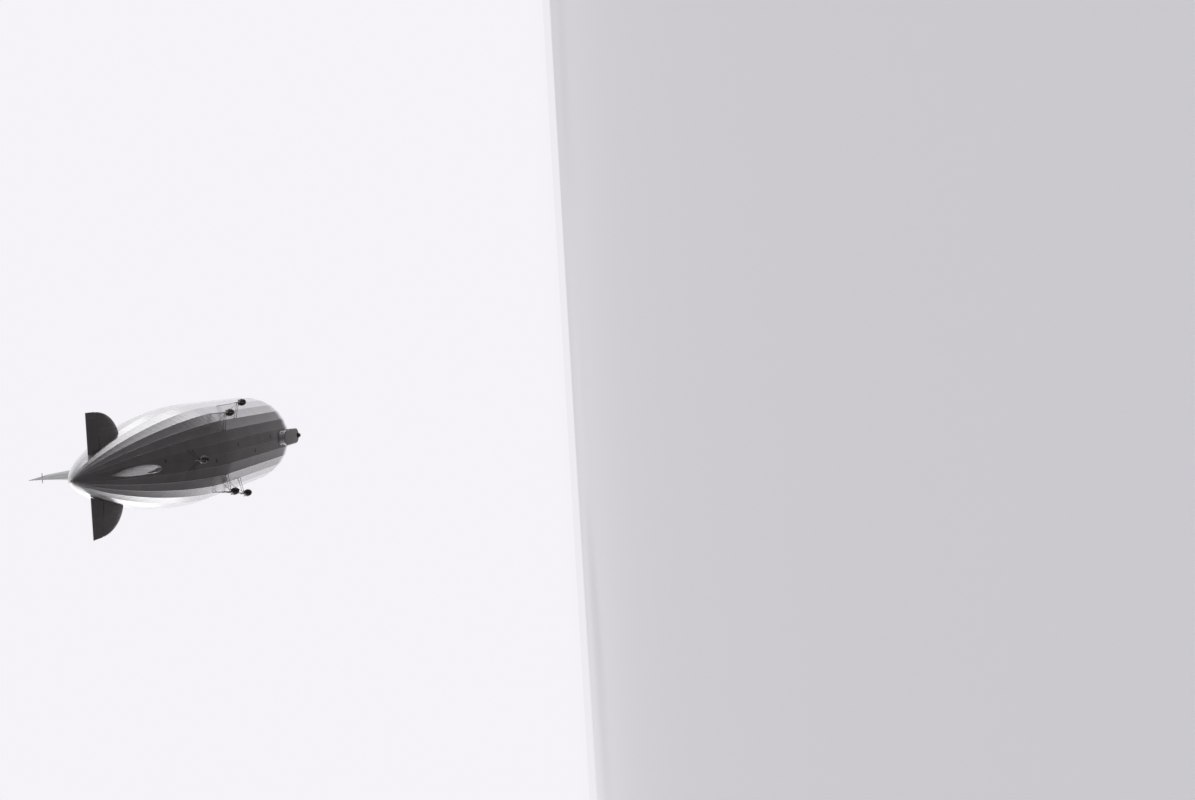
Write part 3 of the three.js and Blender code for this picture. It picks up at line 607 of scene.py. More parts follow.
class Shape:
    """A mesh that grows face by face, in metres of the ship."""

    def __init__(self) -> None:
        """Starts with no faces."""
        self.points: list[Point] = []
        self.faces: list[Sequence[int]] = []
        self.finishes: list[int] = []
        self.tones: list[float] = []
        self.corners: list[Pair] = []
        self.reach: dict[int, Pair] = {}
        self.creases: set[frozenset[int]] = set()

    def face(self, indices: Sequence[int], finish: int = 0, tone: float = 0.5, uvs: Optional[list] = None) -> None:
        """Adds one face.

        Args:
            indices: Its points, by number.
            finish: The number of its finish.
            tone: A shade for the whole face, from 0 to 1.
            uvs: A place on the cloth for each corner, in metres.
        """
        self.faces.append(indices)
        self.finishes.append(finish)
        self.tones.append(tone)
        self.corners.extend(uvs or [(0.0, 0.0)] * len(indices))

    def grid(
        self,
        rows: Rows,
        ring: bool = True,
        loop: bool = False,
        caps: bool = False,
        finish: int = 0,
        uv: Optional[Callable[[int, int], Pair]] = None,
        tone: Optional[Callable[[int, int], float]] = None,
        reach: Optional[Callable[[int, int], Pair]] = None,
        crease: Optional[Callable[[int], bool]] = None,
    ) -> None:
        """Adds rows of points joined by four-sided faces.

        Args:
            rows: Rows with equal counts of points.
            ring: Whether each row closes on itself.
            loop: Whether the last row joins the first.
            caps: Whether the first and last rows are filled in.
            finish: The number of the faces' finish.
            uv: The cloth's place at a row and column.
            tone: The shade of the face after a row and column.
            reach: The distances to the nearest ring and girder at a row and column.
            crease: Whether the line along a column is sharp.
        """
        first, width, count = len(self.points), len(rows[0]), len(rows)
        if reach:
            self.reach.update({first + r * width + c: reach(r, c) for r in range(count) for c in range(width)})
        self.points.extend(point for row in rows for point in row)
        for r in range(count if loop else count - 1):
            here, below = first + r * width, first + (r + 1) % count * width
            for c in range(width if ring else width - 1):
                right = (c + 1) % width
                uvs = [uv(r, c), uv(r, c + 1), uv(r + 1, c + 1), uv(r + 1, c)] if uv else None
                quad = (here + c, here + right, below + right, below + c)
                self.face(quad, finish, tone(r, c) if tone else 0.5, uvs)
                if crease and crease(c):
                    self.creases.add(frozenset((quad[0], quad[3])))
        if caps:
            last = first + (count - 1) * width
            self.face(range(first + width - 1, first - 1, -1), finish)
            self.face(range(last, last + width), finish)

    def solid(self, rows: Rows) -> None:
        """Adds rings of points joined by faces, with both ends filled in."""
        self.grid(rows, caps=True)

    def turned(
        self,
        profile: Sequence[Pair],
        sides: int,
        middle: Pair = (0.0, 0.0),
        tall: float = 1.0,
        solid: bool = True,
        finish: int = 0,
    ) -> None:
        """Adds a shape turned round a fore-and-aft axis.

        Args:
            profile: Pairs of station and radius.
            sides: How many sides it has.
            middle: Where the axis lies, to port and up.
            tall: Height for a width of 1.
            solid: Whether the profile runs from end to end or is a closed loop.
            finish: The number of the faces' finish.
        """
        rows = [hoop(x, r, sides, middle, tall) for x, r in profile]
        self.grid(rows, loop=not solid, caps=solid, finish=finish)

    def post(self, station: float, across: float, profile: Sequence[Pair], sides: int = 12) -> None:
        """Adds an upright turned shape, whose profile is pairs of height and radius."""
        turns = around(sides)
        self.solid([[(station + r * math.cos(a), across + r * math.sin(a), z) for a in turns] for z, r in profile])

    def sweep(
        self,
        path: Sequence[Point],
        section: Sequence[Pair],
        lead: Point = (1.0, 0.0, 0.0),
        closed: bool = False,
        rolls: bool = False,
    ) -> None:
        """Adds a bar with one section along a path, with mitred corners.

        Args:
            path: The points that it follows.
            section: The section's points, first along the lead and then square to it.
            lead: The direction that the section's first axis keeps to.
            closed: Whether the path's end joins its start.
            rolls: Whether the section takes its direction from the one before instead of the lead.
        """
        points = [Vector(p) for p in path]
        rows = []
        keep = Vector(lead)
        for i, here in enumerate(points):
            before = (here - points[i - 1]).normalized() if i or closed else None
            after = (points[(i + 1) % len(points)] - here).normalized() if i + 1 < len(points) or closed else None
            before, after = before or after, after or before
            tangent = (before + after).normalized()
            bend = (after - before).normalized()
            stretch = 1 / max(0.6, tangent.dot(before)) - 1
            side = keep - tangent * keep.dot(tangent)
            side = (side if side.length > 1e-3 else tangent.orthogonal()).normalized()
            other = tangent.cross(side)
            keep = side if rolls else keep
            offsets = [side * a + other * b for a, b in section]
            rows.append([here + offset + bend * (offset.dot(bend) * stretch) for offset in offsets])
        self.grid(rows, loop=closed, caps=not closed)

    def tube(self, path: Sequence[Point], radius: float, sides: int = 8, closed: bool = False) -> None:
        """Adds a round bar along a path."""
        self.sweep(path, oval(radius, radius, sides), (0.31, 0.52, 0.79), closed, rolls=True)

    def box(self, low: Point, high: Point) -> None:
        """Adds a box between its lowest and highest corners."""
        (x0, y0, z0), (x1, y1, z1) = low, high
        self.solid([[(x0, y0, z), (x1, y0, z), (x1, y1, z), (x0, y1, z)] for z in (z0, z1)])

    def block(self, middle: Point, half: Point) -> None:
        """Adds a box round a middle, with half its size along each axis."""
        self.box([m - h for m, h in zip(middle, half)], [m + h for m, h in zip(middle, half)])

    def moved(self, change: Callable[[Point], Point]) -> "Shape":
        """Returns this shape with every point changed."""
        self.points = [change(point) for point in self.points]
        return self

    def build(
        self, name: str, finishes: Sequence[Finish], sharp: float = 30.0, bevel: float = 0.0
    ) -> bpy.types.Object:
        """Makes the object.

        Args:
            name: The object's name.
            finishes: Its finishes, in the order of their numbers.
            sharp: The angle in degrees from which an edge is sharp.
            bevel: How far sharp edges are rounded, in metres of the ship.

        Returns:
            The new object.
        """
        mesh = bpy.data.meshes.new(name)
        mesh.from_pydata([to_model(p) for p in self.points], [], self.faces)
        for finish in finishes:
            mesh.materials.append(finish.material())
        mesh.polygons.foreach_set("material_index", self.finishes)
        mesh.polygons.foreach_set("use_smooth", [True] * len(self.faces))
        layer = mesh.uv_layers.new(name="cloth")
        layer.data.foreach_set("uv", [value for corner in self.corners for value in corner])
        mesh.attributes.new("tone", "FLOAT", "FACE").data.foreach_set("value", self.tones)
        if self.reach:
            far = (9.0, 9.0)
            for axis, attribute in enumerate(("along", "across")):
                distances = [self.reach.get(i, far)[axis] for i in range(len(self.points))]
                mesh.attributes.new(attribute, "FLOAT", "POINT").data.foreach_set("value", distances)
        work = bmesh.new()
        work.from_mesh(mesh)
        bmesh.ops.recalc_face_normals(work, faces=work.faces)
        if bevel:
            edges = [e for e in work.edges if len(e.link_faces) == 2 and e.calc_face_angle(0.0) > math.radians(35)]
            bmesh.ops.bevel(work, geom=edges, offset=bevel * SCALE, segments=2, affect="EDGES", profile=0.6)
        work.to_mesh(mesh)
        work.free()
        mesh.set_sharp_from_angle(angle=math.radians(sharp))
        for edge in mesh.edges if self.creases else ():
            if frozenset(edge.vertices) in self.creases:
                edge.use_edge_sharp = True
        made = bpy.data.objects.new(name, mesh)
        bpy.context.scene.collection.objects.link(made)
        return made

    def place(
        self,
        name: str,
        finishes: Sequence[Finish],
        *nodes: str,
        body: str = "airframe",
        slot: str = "",
        **edges: float,
    ) -> None:
        """Makes the object and puts it on its body.

        Args:
            name: The object's name.
            finishes: Its finishes, in the order of their numbers.
            nodes: The CAD nodes that it stands for.
            body: The body that it rides on.
            slot: The record's material slot, if it isn't the first finish's own.
            edges: What build has to know of its edges.
        """
        fit(self.build(name, finishes, **edges), body, slot or finishes[0].slot, *nodes)


def settle(piece: bpy.types.Object) -> None:
    """Makes a piece's modifiers part of its mesh."""
    graph = bpy.context.evaluated_depsgraph_get()
    mesh = bpy.data.meshes.new_from_object(piece.evaluated_get(graph))
    piece.modifiers.clear()
    old, piece.data = piece.data, mesh
    bpy.data.meshes.remove(old)


def carve(piece: bpy.types.Object, cutter: Shape) -> None:
    """Cuts a shape out of a piece."""
    cut = piece.modifiers.new("cut", "BOOLEAN")
    cut.operation, cut.solver = "DIFFERENCE", "EXACT"
    cut.object = tool = cutter.build(piece.name + "_cutter", [STRUT_PAINT])
    settle(piece)
    bpy.data.objects.remove(tool)


def even_out(piece: bpy.types.Object) -> None:
    """Shades each face of a carved piece by the larger faces beside it."""
    even = piece.modifiers.new("even", "WEIGHTED_NORMAL")
    even.keep_sharp, even.weight = True, 100
    settle(piece)


def swell(piece: bpy.types.Object, held: Callable[[Vector], bool], most: float, frames: int = 20) -> None:
    """Fills a padded piece by cloth simulation, and rounds it with one subdivision.

    Args:
        piece: The piece, in place and a little slack.
        held: Whether a point, in the model's metres, is sewn or clamped and stays where it is.
        most: How far a point may move, in the model's metres.
        frames: The simulation's last frame.
    """
    mesh, scene = piece.data, bpy.context.scene
    group = piece.vertex_groups.new(name="held")
    group.add([point.index for point in mesh.vertices if held(point.co)], 1.0, "REPLACE")
    cloth = piece.modifiers.new("cloth", "CLOTH")
    cloth.settings.vertex_group_mass = "held"
    cloth.settings.use_pressure = True
    cloth.settings.uniform_pressure_force = 4.0
    cloth.settings.effector_weights.gravity = 0.0
    cloth.settings.quality = 6
    cloth.point_cache.frame_start, cloth.point_cache.frame_end = 1, frames
    for frame in range(1, frames + 1):
        scene.frame_set(frame)
    filled = piece.evaluated_get(bpy.context.evaluated_depsgraph_get()).to_mesh()
    moves = [Vector(there.co) - here.co for here, there in zip(mesh.vertices, filled.vertices)]
    piece.modifiers.clear()
    piece.vertex_groups.clear()
    scene.frame_set(1)
    for point, move in zip(mesh.vertices, moves):
        point.co += move.normalized() * min(move.length, most)
    LOG.info("%s swelled by up to %.1f mm", piece.name, 1000 * min(most, max(move.length for move in moves)))
    rounder = piece.modifiers.new("rounder", "SUBSURF")
    rounder.levels = rounder.render_levels = 1
    settle(piece)


def fit(piece: bpy.types.Object, body: str, slot: str, *nodes: str) -> None:
    """Puts a finished piece on its body.

    Args:
        piece: The piece.
        body: The body that it rides on.
        slot: The record's material slot for its finish. It is not used.
        nodes: The CAD nodes that it stands for.
    """
    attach(piece, body)
    if nodes:
        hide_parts(*nodes)
    LOG.info("%s: %d faces on %s", piece.name, len(piece.data.polygons), body)


# Hull


@dataclass(frozen=True)
class HullForm:
    """The hull's outline: 28 flat sides with a ridge straight up and a ridge straight down."""

    length: float = 236.6
    radius: float = 15.25
    sides: int = 28
    nose_length: float = 34.0
    nose_power: float = 2.25
    tail_length: float = 112.0
    tail_power: float = 1.6
    tail_rounding: float = 0.7
    skin: float = 0.1

    def radius_at(self, station: float) -> float:
        """Returns the radius of the ridges at a station."""
        nose = min(1.0, max(0.0, (self.nose_length - (self.length - station)) / self.nose_length))
        tail = min(1.0, max(0.0, (self.tail_length - station) / self.tail_length))
        nose_part = (1 - nose**self.nose_power) ** (1 / self.nose_power)
        return self.radius * nose_part * (1 - tail**self.tail_power) ** self.tail_rounding

    def ridge(self, station: float, edge: float, inside: float = 0.0) -> Point:
        """Returns a point on a ridge, counted from the keel to port.

        Args:
            station: Where along the ship.
            edge: The ridge's number. A part of a number lies on the flat side between two ridges.
            inside: How far inside the outline it lies.

        Returns:
            The point.
        """
        low = math.floor(edge)
        radius = self.radius_at(station) - inside
        a, b = low * TURN / self.sides, (low + 1) * TURN / self.sides
        y = between(math.sin(a), math.sin(b), edge - low) * radius
        return (station, y, -between(math.cos(a), math.cos(b), edge - low) * radius)

    def facet_width(self, station: float) -> float:
        """Returns the width of one flat side at a station."""
        return 2 * self.radius_at(station) * math.sin(math.pi / self.sides)

    def inner_radius(self, station: float) -> float:
        """Returns the radius inside the skin at a station."""
        slope = (self.radius_at(station + 0.02) - self.radius_at(station - 0.02)) / 0.04
        return max(0.1, self.radius_at(station) - self.skin * math.hypot(slope, 1))

    def underside(self, station: float, across: float) -> float:
        """Returns the height of the keel's flat sides at a distance from the middle."""
        return -self.radius_at(station) + abs(across) * math.tan(math.pi / self.sides)


HULL = HullForm()


@dataclass
class HullCover:
    """The hull's cloth cover in sections, each a closed shell of laced panels."""

    bay: float = 5.0
    section: float = 45.0
    starts: Sequence[float] = (9.0, 54.0, 99.0, 144.0)
    names: Sequence[str] = ("hull_stern", "hull_aft", "hull_middle_aft", "hull_middle_fore")
    bow: Pair = (189.0, 219.0)
    bow_rings: Sequence[float] = (223.6, 227.4, 230.4, 232.8, 234.6, 236.0)
    cells: int = 4
    hollow: float = 0.035
    panel: float = 2.5
    cloth_width: float = 3.4

    def build(self) -> None:
        """Builds every section between its rings."""
        for name, start in zip(self.names, self.starts):
            self._section(name, spaced(start, start + self.section, round(self.section / self.bay)))
        self._section("hull_bow", [*spaced(*self.bow, 6), *self.bow_rings])

    def _section(self, name: str, rings: Sequence[float]) -> None:
        """Builds one section.

        Args:
            name: The CAD node that it stands for.
            rings: The stations of its rings.
        """
        chance = random.Random(name)
        cells, columns = self.cells, HULL.sides * self.cells
        places = [
            (between(aft, fore, cell / cells), bay, cell / cells, fore - aft)
            for bay, (aft, fore) in enumerate(zip(rings, rings[1:]))
            for cell in range(cells + 1 if fore == rings[-1] else cells)
        ]
        stations = [place[0] for place in places]
        stations[0] += GAP
        shades = [[chance.random() for _ in range(HULL.sides)] for _ in rings]

        def point(row: int, column: int) -> Point:
            """Returns a point of the cover, sunk a little in the middle of its panel."""
            along, across = places[row][2], (column % cells) / cells
            size = min(1.0, HULL.facet_width(stations[row]) / self.panel)
            dip = 16 * along * (1 - along) * across * (1 - across)
            return HULL.ridge(stations[row], column / cells, self.hollow * size * dip)

        def reach(row: int, column: int) -> Pair:
            """Returns the distances to the nearest ring and the nearest girder."""
            _, _, along, length = places[row]
            across = (column % cells) / cells
            return min(along, 1 - along) * length, min(across, 1 - across) * HULL.facet_width(stations[row])

        shape = Shape()
        shape.grid(
            [[point(row, column) for column in range(columns)] for row in range(len(stations))],
            uv=lambda row, column: (column / cells * self.cloth_width, stations[row]),
            tone=lambda row, column: shades[places[row][1]][column // cells],
            reach=reach,
            crease=lambda column: column % cells == 0,
        )
        outer_last, inner_first = len(shape.points) - columns, len(shape.points)
        inner = [(x, HULL.radius_at(x) - HULL.inner_radius(x)) for x in (rings[0] + GAP, *rings[1:])]
        shape.grid([[HULL.ridge(x, column / cells, skin) for column in range(columns)] for x, skin in inner])
        inner_last = len(shape.points) - columns
        for column in range(columns):
            after = (column + 1) % columns
            shape.face((column, after, inner_first + after, inner_first + column))
            shape.face((outer_last + after, outer_last + column, inner_last + column, inner_last + after))
        shape.place(name + "_cover", [HULL_CLOTH], name, sharp=50)


@dataclass
class HullEnds:
    """The tail cone with its lamp, and the nose cap with the mooring spindle."""

    cone_stations: Sequence[float] = (0.15, 0.4, 0.8, 1.3, 2.0, 3.0, 4.0, 5.0, 6.3, 7.6, 9.0)
    cone_end: float = 0.3
    cone_mouth: float = 0.17
    lamp_radius: float = 0.15
    lamp_collar: Sequence[Pair] = (
        (0.08, 0.05), (0.08, 0.14), (0.14, 0.16), (0.16, 0.16), (0.2, 0.145),
        (1.1, 0.145), (1.1, 0.38), (1.2, 0.38), (1.2, 0.05),
    )
    hole_radius: float = 0.35

    def build(self) -> None:
        """Builds both ends."""
        self._cone()
        self._lamp()
        self._cap()
        self._spindle()

    def _cone(self) -> None:
        """Builds the tail cone."""
        chance = random.Random(5)
        stations, columns = self.cone_stations, HULL.sides * 2
        final = len(stations) - 1
        shades = [[chance.random() for _ in range(HULL.sides)] for _ in stations]
        skins = [(x, HULL.radius_at(x) - max(self.cone_mouth, HULL.inner_radius(x))) for x in reversed(stations)]
        rows = [hoop(0.0, self.cone_end, columns)]
        skins = [(x, 0.0) for x in stations] + skins
        rows += [[HULL.ridge(x, c / 2, skin) for c in range(columns)] for x, skin in skins]

        def reach(r: int, c: int) -> Pair:
            """Returns the distances to the nearest ring and the nearest girder."""
            width = HULL.facet_width(max(self.cone_end, stations[min(max(r - 1, 0), final)]))
            return 0.05 if r in (0, 1, final + 1) else 0.6, 0.5 * width if c % 2 else 0.0

        shape = Shape()
        shape.grid(
            [*rows, hoop(0.0, self.cone_mouth, columns)],
            loop=True,
            uv=lambda r, c: (c * 0.3, r * 0.8),
            tone=lambda r, c: shades[min(r // 4, final)][c // 2],
            reach=reach,
            crease=lambda c: c % 2 == 0,
        )
        shape.place("tail_cone_cover", [HULL_CLOTH], "tail_cone", sharp=50)

    def _lamp(self) -> None:
        """Builds the tail lamp: a glass globe in a ribbed collar."""
        shape = Shape()
        size = self.lamp_radius
        globe = [(-0.02 - size * math.cos(a), max(0.002, size * math.sin(a))) for a in spaced(0.0, math.pi * 0.9, 14)]
        shape.turned(globe, 24)
        shape.turned(self.lamp_collar, 24, finish=1)
        shape.place("tail_lamp_globe", [LAMP_GLASS, STRUT_PAINT], "tail_lamp")

    def _cap(self) -> None:
        """Builds the metal nose cap with its reinforcing ribs."""
        shape = Shape()
        hole, back = self.hole_radius, 236.003
        outer = [(back, HULL.radius_at(236.0)), (236.12, HULL.radius_at(236.13)), (236.24, HULL.radius_at(236.25))]
        outer += [(236.35, HULL.radius_at(236.35)), (236.47, 1.7), (236.55, 1.2), (236.58, 0.9), (236.58, hole)]
        shape.turned(outer + [(236.48, hole), (236.48, 0.9), (236.2, 1.9), (back, 2.6)], 56, solid=False)
        for angle in around(14):
            path = [(x + 0.012, r * math.sin(angle), -r * math.cos(angle)) for x, r in outer[1:7]]
            shape.tube(path, 0.045, 6)
        shape.tube(hoop(236.575, 0.72, 40), 0.05, closed=True)
        shape.place("nose_cap_plate", [NOSE_SHEET], "nose_cap", sharp=40)

    def _spindle(self) -> None:
        """Builds the mooring spindle with its flange and bolts."""
        shape = Shape()
        radius = self.hole_radius - GAP
        flange = [(235.3, 0.02), (235.3, 0.58), (235.33, 0.6), (236.44, 0.6), (236.477, 0.57), (236.477, radius)]
        ahead = [(0.44, radius), (0.5, radius - 0.05), (0.5, 0.24), (0.88, 0.24), (0.9, 0.34), (0.93, 0.36)]
        ahead += [(1.0, 0.35), (1.26, 0.22), (1.3, 0.2), (1.3, 0.02)]
        shape.turned(flange + [(HULL.length + x, r) for x, r in ahead], 40)
        bolt = [(HULL.length + x, r) for x, r in ((0.49, 0.01), (0.49, 0.035), (0.54, 0.035), (0.54, 0.01))]
        for a in around(8):
            shape.turned(bolt, 6, (0.29 * math.sin(a), 0.29 * math.cos(a)))
        shape.place("mooring_spindle_steel", [SPINDLE_STEEL], "mooring_spindle")


@dataclass
class HullFittings:
    """Small things on the hull: vent hoods along the top and hatches along the keel."""

    hoods: Sequence[float] = (62.0, 84.0, 106.0, 128.0, 150.0, 172.0, 194.0)
    hood: Sequence[Pair] = (
        (0.75, 0.03), (0.7, 0.16), (0.45, 0.3), (0.0, 0.36), (-0.45, 0.32), (-0.6, 0.26), (-0.6, 0.02),
    )
    hatches: Sequence[float] = (48.0, 92.0, 121.0, 148.0, 176.0)
    hatch: Pair = (0.45, 0.16)

    def build(self) -> None:
        """Builds the hoods and the hatches."""
        self._hoods()
        self._hatches()

    def _hoods(self) -> None:
        """Builds the vent hoods, which stand in pairs beside the top ridge."""
        shape = Shape()
        turns = spaced(-math.pi / 2, math.pi / 2, 10)
        arches = [[(x, 1.1 * r * math.sin(a), r * math.cos(a)) for a in turns] for x, r in self.hood]
        for station in self.hoods:
            for side in SIDES:
                _, y, z = HULL.ridge(station, HULL.sides / 2 + side * 0.5)
                shape.solid([[(station + x, y + v, z - 0.08 + w) for x, v, w in arch] for arch in arches])
        shape.place("vent_hoods", [FRAME_PAINT], sharp=40)

    def _hatches(self) -> None:
        """Builds the hatches in the keel's flat sides, each a lid in a raised frame."""
        shape = Shape()
        half, width = self.hatch
        for number, station in enumerate(self.hatches):
            edge = 0.5 if number % 2 else -0.5
            low, high = edge - width, edge + width
            aft, fore = station - half, station + half
            corners = ((aft, low), (fore, low), (fore, high), (aft, high))
            shape.tube([HULL.ridge(x, e, -0.012) for x, e in corners], 0.035, 6, closed=True)
            lid = ((aft + 0.02, -0.02), (fore - 0.02, -0.02), (fore - 0.02, 0.03), (aft + 0.02, 0.03))
            shape.grid([[HULL.ridge(x, e, inside) for e in (low, high)] for x, inside in lid], ring=False, loop=True)
        shape.place("keel_hatches", [FRAME_PAINT])


# Fins


@dataclass(frozen=True)
class FinForm:
    """Sizes that the four fins and their moving surfaces share."""

    root: float = 42.0
    knee: float = 9.4
    trailing_edge: float = 14.4
    trailing_thickness: float = 0.08
    hinge: float = 21.5
    curve_start: float = 18.0
    horn_reach: float = 1.25
    rib_start: float = 5.0
    rib_pitch: float = 1.25
    fin_foot: float = 7.0
    surface_foot: float = 6.0
    surface_spar: float = 17.2
    surface_parts: int = 32
    flat_parts: int = 8
    shades: int = 400
    spars: Sequence[float] = (0.12, 0.38, 0.65, 1.0)
    shares: Sequence[float] = (
        0.0, 0.012, 0.035, 0.07, 0.12, 0.2, 0.29, 0.38, 0.47, 0.56, 0.65, 0.75, 0.85, 0.93, 1.0,
    )
    fullest: float = 0.38
    nose_turn: float = 98.0
    thickest: float = 4.7
    thinning: float = 0.26
    nose_share: float = 0.31
    edge_powers: Pair = (1.6, 2.6)
    section_powers: Sequence[float] = (2.1, 0.62, 1.7)

    def thickness(self, height: float) -> float:
        """Returns the fin's greatest thickness at a height above the ship's axis."""
        return self.thickest - self.thinning * height

    def nose_radius(self, height: float) -> float:
        """Returns the radius of the moving surface's round front."""
        return self.nose_share * self.thickness(height)

    def rear(self, height: float) -> float:
        """Returns the station of the fixed fin's after edge at a height."""
        return self.hinge + self.nose_radius(height) + CLEAR

    def leading_edge(self, height: float, tip: float) -> float:
        """Returns the station of the leading edge at a height."""
        share = min(1.0, max(0.0, (height - self.knee) / (tip + 0.05 - self.knee)))
        first, second = self.edge_powers
        return self.curve_start + (self.root - self.curve_start) * (1 - share**first) ** (1 / second)

    def sunk(self, height: float, spar: float, depth: float) -> float:
        """Returns how far the cloth is sunk between its ribs.

        Args:
            height: The place above the ship's axis.
            spar: The distance to the nearest spar.
            depth: How far the middle of a panel is sunk.

        Returns:
            The distance.
        """
        share = ((height - self.rib_start) / self.rib_pitch) % 1.0
        return depth * 4 * share * (1 - share) * min(1.0, spar / 0.8)


FIN = FinForm()


@dataclass
class TailFin:
    """One fin, the rudder or elevator behind it, and the hinges between."""

    name: str
    surface: str
    turn: float
    tip: float
    horn: float = 13.6
    hinges: Pair = (8.4, 14.2)
    cloth: DopedCloth = ELEVATOR_CLOTH

    def build(self) -> None:
        """Builds the fin, its moving surface and the metal fittings."""
        self._fin()
        self._surface()
        self._hinges()
        self._horn()

    def _turned(self, point: Point) -> Point:
        """Turns a point of an upright fin into this fin's place."""
        a = math.radians(self.turn)
        x, y, z = point
        return (x, y * math.cos(a) - z * math.sin(a), y * math.sin(a) + z * math.cos(a))

    def _cover(self, name: str, cloth: DopedCloth, rows: Rows, step: int, run: int) -> bpy.types.Object:
        """Builds cloth over rows of points, with a shade for each panel.

        Args:
            name: The CAD node that it stands for.
            cloth: Its finish.
            rows: The points, row by row up the fin.
            step: The numbers of shades from one rib to the next.
            run: How many columns one panel takes.

        Returns:
            The object.
        """
        chance = random.Random(name)
        shades = [chance.random() for _ in range(FIN.shades)]
        width = len(rows[0])
        shape = Shape()
        shape.grid(
            rows,
            caps=True,
            uv=lambda r, c: (rows[r][c % width][0], rows[r][c % width][2]),
            tone=lambda r, c: shades[
                (int((rows[r][c][2] - FIN.rib_start) / FIN.rib_pitch) * step + c // run) % FIN.shades
            ],
        )
        return shape.moved(self._turned).build(name + "_cover", [cloth], sharp=40)

    def _fin_point(self, share: float, level: float) -> Point:
        """Returns a point of the fixed fin's port side.

        Args:
            share: The place along its chord, from the leading edge.
            level: The place from the hull to the tip.

        Returns:
            The point.
        """
        top, full = self.tip - 0.1, FIN.fullest
        h = between(FIN.fin_foot, top, level)
        for _ in range(8):
            front, rear = FIN.leading_edge(h, self.tip), FIN.rear(h)
            x = front - share * (front - rear)
            h = between(HULL.radius_at(x) - 0.25, top, level)
        chord = front - rear
        half = min(FIN.thickness(h) / 2, chord * 0.2)
        rear_share = min(FIN.nose_radius(h), half) / half
        first, second, third = FIN.section_powers
        if share < full:
            w = (1 - (1 - share / full) ** first) ** second
        else:
            w = 1 - (1 - rear_share) * ((share - full) / (1 - full)) ** third
        dip = FIN.sunk(h, min(abs(share - spar) for spar in FIN.spars) * chord, 0.03)
        rounding = min(1.0, max(0.25, (self.tip - h) / 0.28)) ** 0.5
        return (x, max(0.0, w * half * rounding - dip * min(1.0, w)), h)

    def _fin(self) -> None:
        """Builds the fixed fin with sunk cloth between its ribs."""
        rows = []
        for level in spaced(0.0, 1.0, 30):
            side = [self._fin_point(share, level) for share in FIN.shares]
            rows.append(side[::-1] + [(x, -y, h) for x, y, h in side[1:]])
        fit(self._cover(self.name, FIN_CLOTH, rows, 7, 4), "airframe", FIN_CLOTH.slot, self.name)

    def _surface_point(self, part: int, level: float) -> Point:
        """Returns a point of the rudder or elevator, round in front and thin behind.

        Args:
            part: The number of the point, from the after edge to port to the after edge to starboard.
            level: The place from the hull to the tip.

        Returns:
            The point.
        """
        h, thin = between(FIN.surface_foot, self.tip, level), FIN.trailing_thickness / 2
        first, last = FIN.flat_parts, FIN.surface_parts - FIN.flat_parts
        flat = max(first - part, part - last, 0) / first
        angle = math.radians(FIN.nose_turn * (1 - 2 * (min(max(part, first), last) - first) / (last - first)))
        for _ in range(6):
            radius = FIN.nose_radius(h)
            x, y = FIN.hinge + radius * math.cos(angle), radius * math.sin(angle)
            x = between(x, FIN.trailing_edge, flat)
            y = math.copysign(between(abs(y), thin, flat), y)
            h = between(HULL.radius_at(x) + CLEAR + 0.04, self.tip, level)
        spar = min(abs(x - station) for station in (FIN.trailing_edge, FIN.surface_spar, FIN.hinge))
        dip = FIN.sunk(h, spar, 0.02) if x < FIN.hinge else 0.0
        sunk = max(thin, abs(y) - dip) if abs(y) > 0.05 else abs(y)
        return (x, math.copysign(sunk * (1.0 if self.tip - h > 0.1 else 0.85), y), h)

    def _surface(self) -> None:
        """Builds the rudder or elevator, with slots for its hinges."""
        parts = range(FIN.surface_parts + 1)
        rows = [[self._surface_point(part, level) for part in parts] for level in spaced(0.0, 1.0, 27)]
        made = self._cover(self.surface, self.cloth, rows, 5, 6)
        slots = Shape()
        for height in self.hinges:
            slots.block((FIN.hinge + 1.0, 0.0, height), (1.2, 1.2, 0.16))
        carve(made, slots.moved(self._turned))
        fit(made, self.surface, self.cloth.slot, self.surface)

    def _hinges(self) -> None:
        """Builds the lugs and pins that hold the moving surface."""
        shape = Shape()
        for height in self.hinges:
            rear = FIN.rear(height)
            turns = spaced(-math.pi / 2, math.pi / 2, 8)
            lug = [(FIN.hinge - 0.08 * math.cos(a), 0.08 * math.sin(a)) for a in turns]
            lug += [(rear + 0.1, 0.08), (rear + 0.1, -0.08)]
            shape.solid([[(x, y, height + z) for x, y in lug] for z in (-0.1, 0.1)])
            shape.block((rear, 0.0, height), (0.03, 0.22, 0.22))
            for z in (height - 0.135, height + 0.135):
                shape.post(FIN.hinge, 0.0, [(z - 0.022, 0.055), (z + 0.022, 0.055)])
        shape.moved(self._turned).place(self.name + "_hinges", [STRUT_PAINT], bevel=0.012)

    def _horn(self) -> None:
        """Builds the lever across the moving surface that its control cables pull."""
        shape = Shape()
        reach, low = FIN.horn_reach, self.horn
        side = [(0.16, 0.0), (0.13, 0.4), (0.075, reach - 0.12), (0.05, reach - 0.03), (0.0, reach)]
        side += [(-0.05, reach - 0.03), (-0.075, reach - 0.12), (-0.2, 0.4), (-0.34, 0.0)]
        shape.solid([[(FIN.hinge + x, y, z) for x, y in mirrored(side)] for z in (low, low + 0.1)])
        for port in SIDES:
            shape.post(FIN.hinge, port * (reach - 0.1), [(low - 0.04, 0.035), (low + 0.14, 0.035)])
        shape.moved(self._turned).place(self.surface + "_horn", [STRUT_PAINT], body=self.surface, bevel=0.012)


# Engine cars


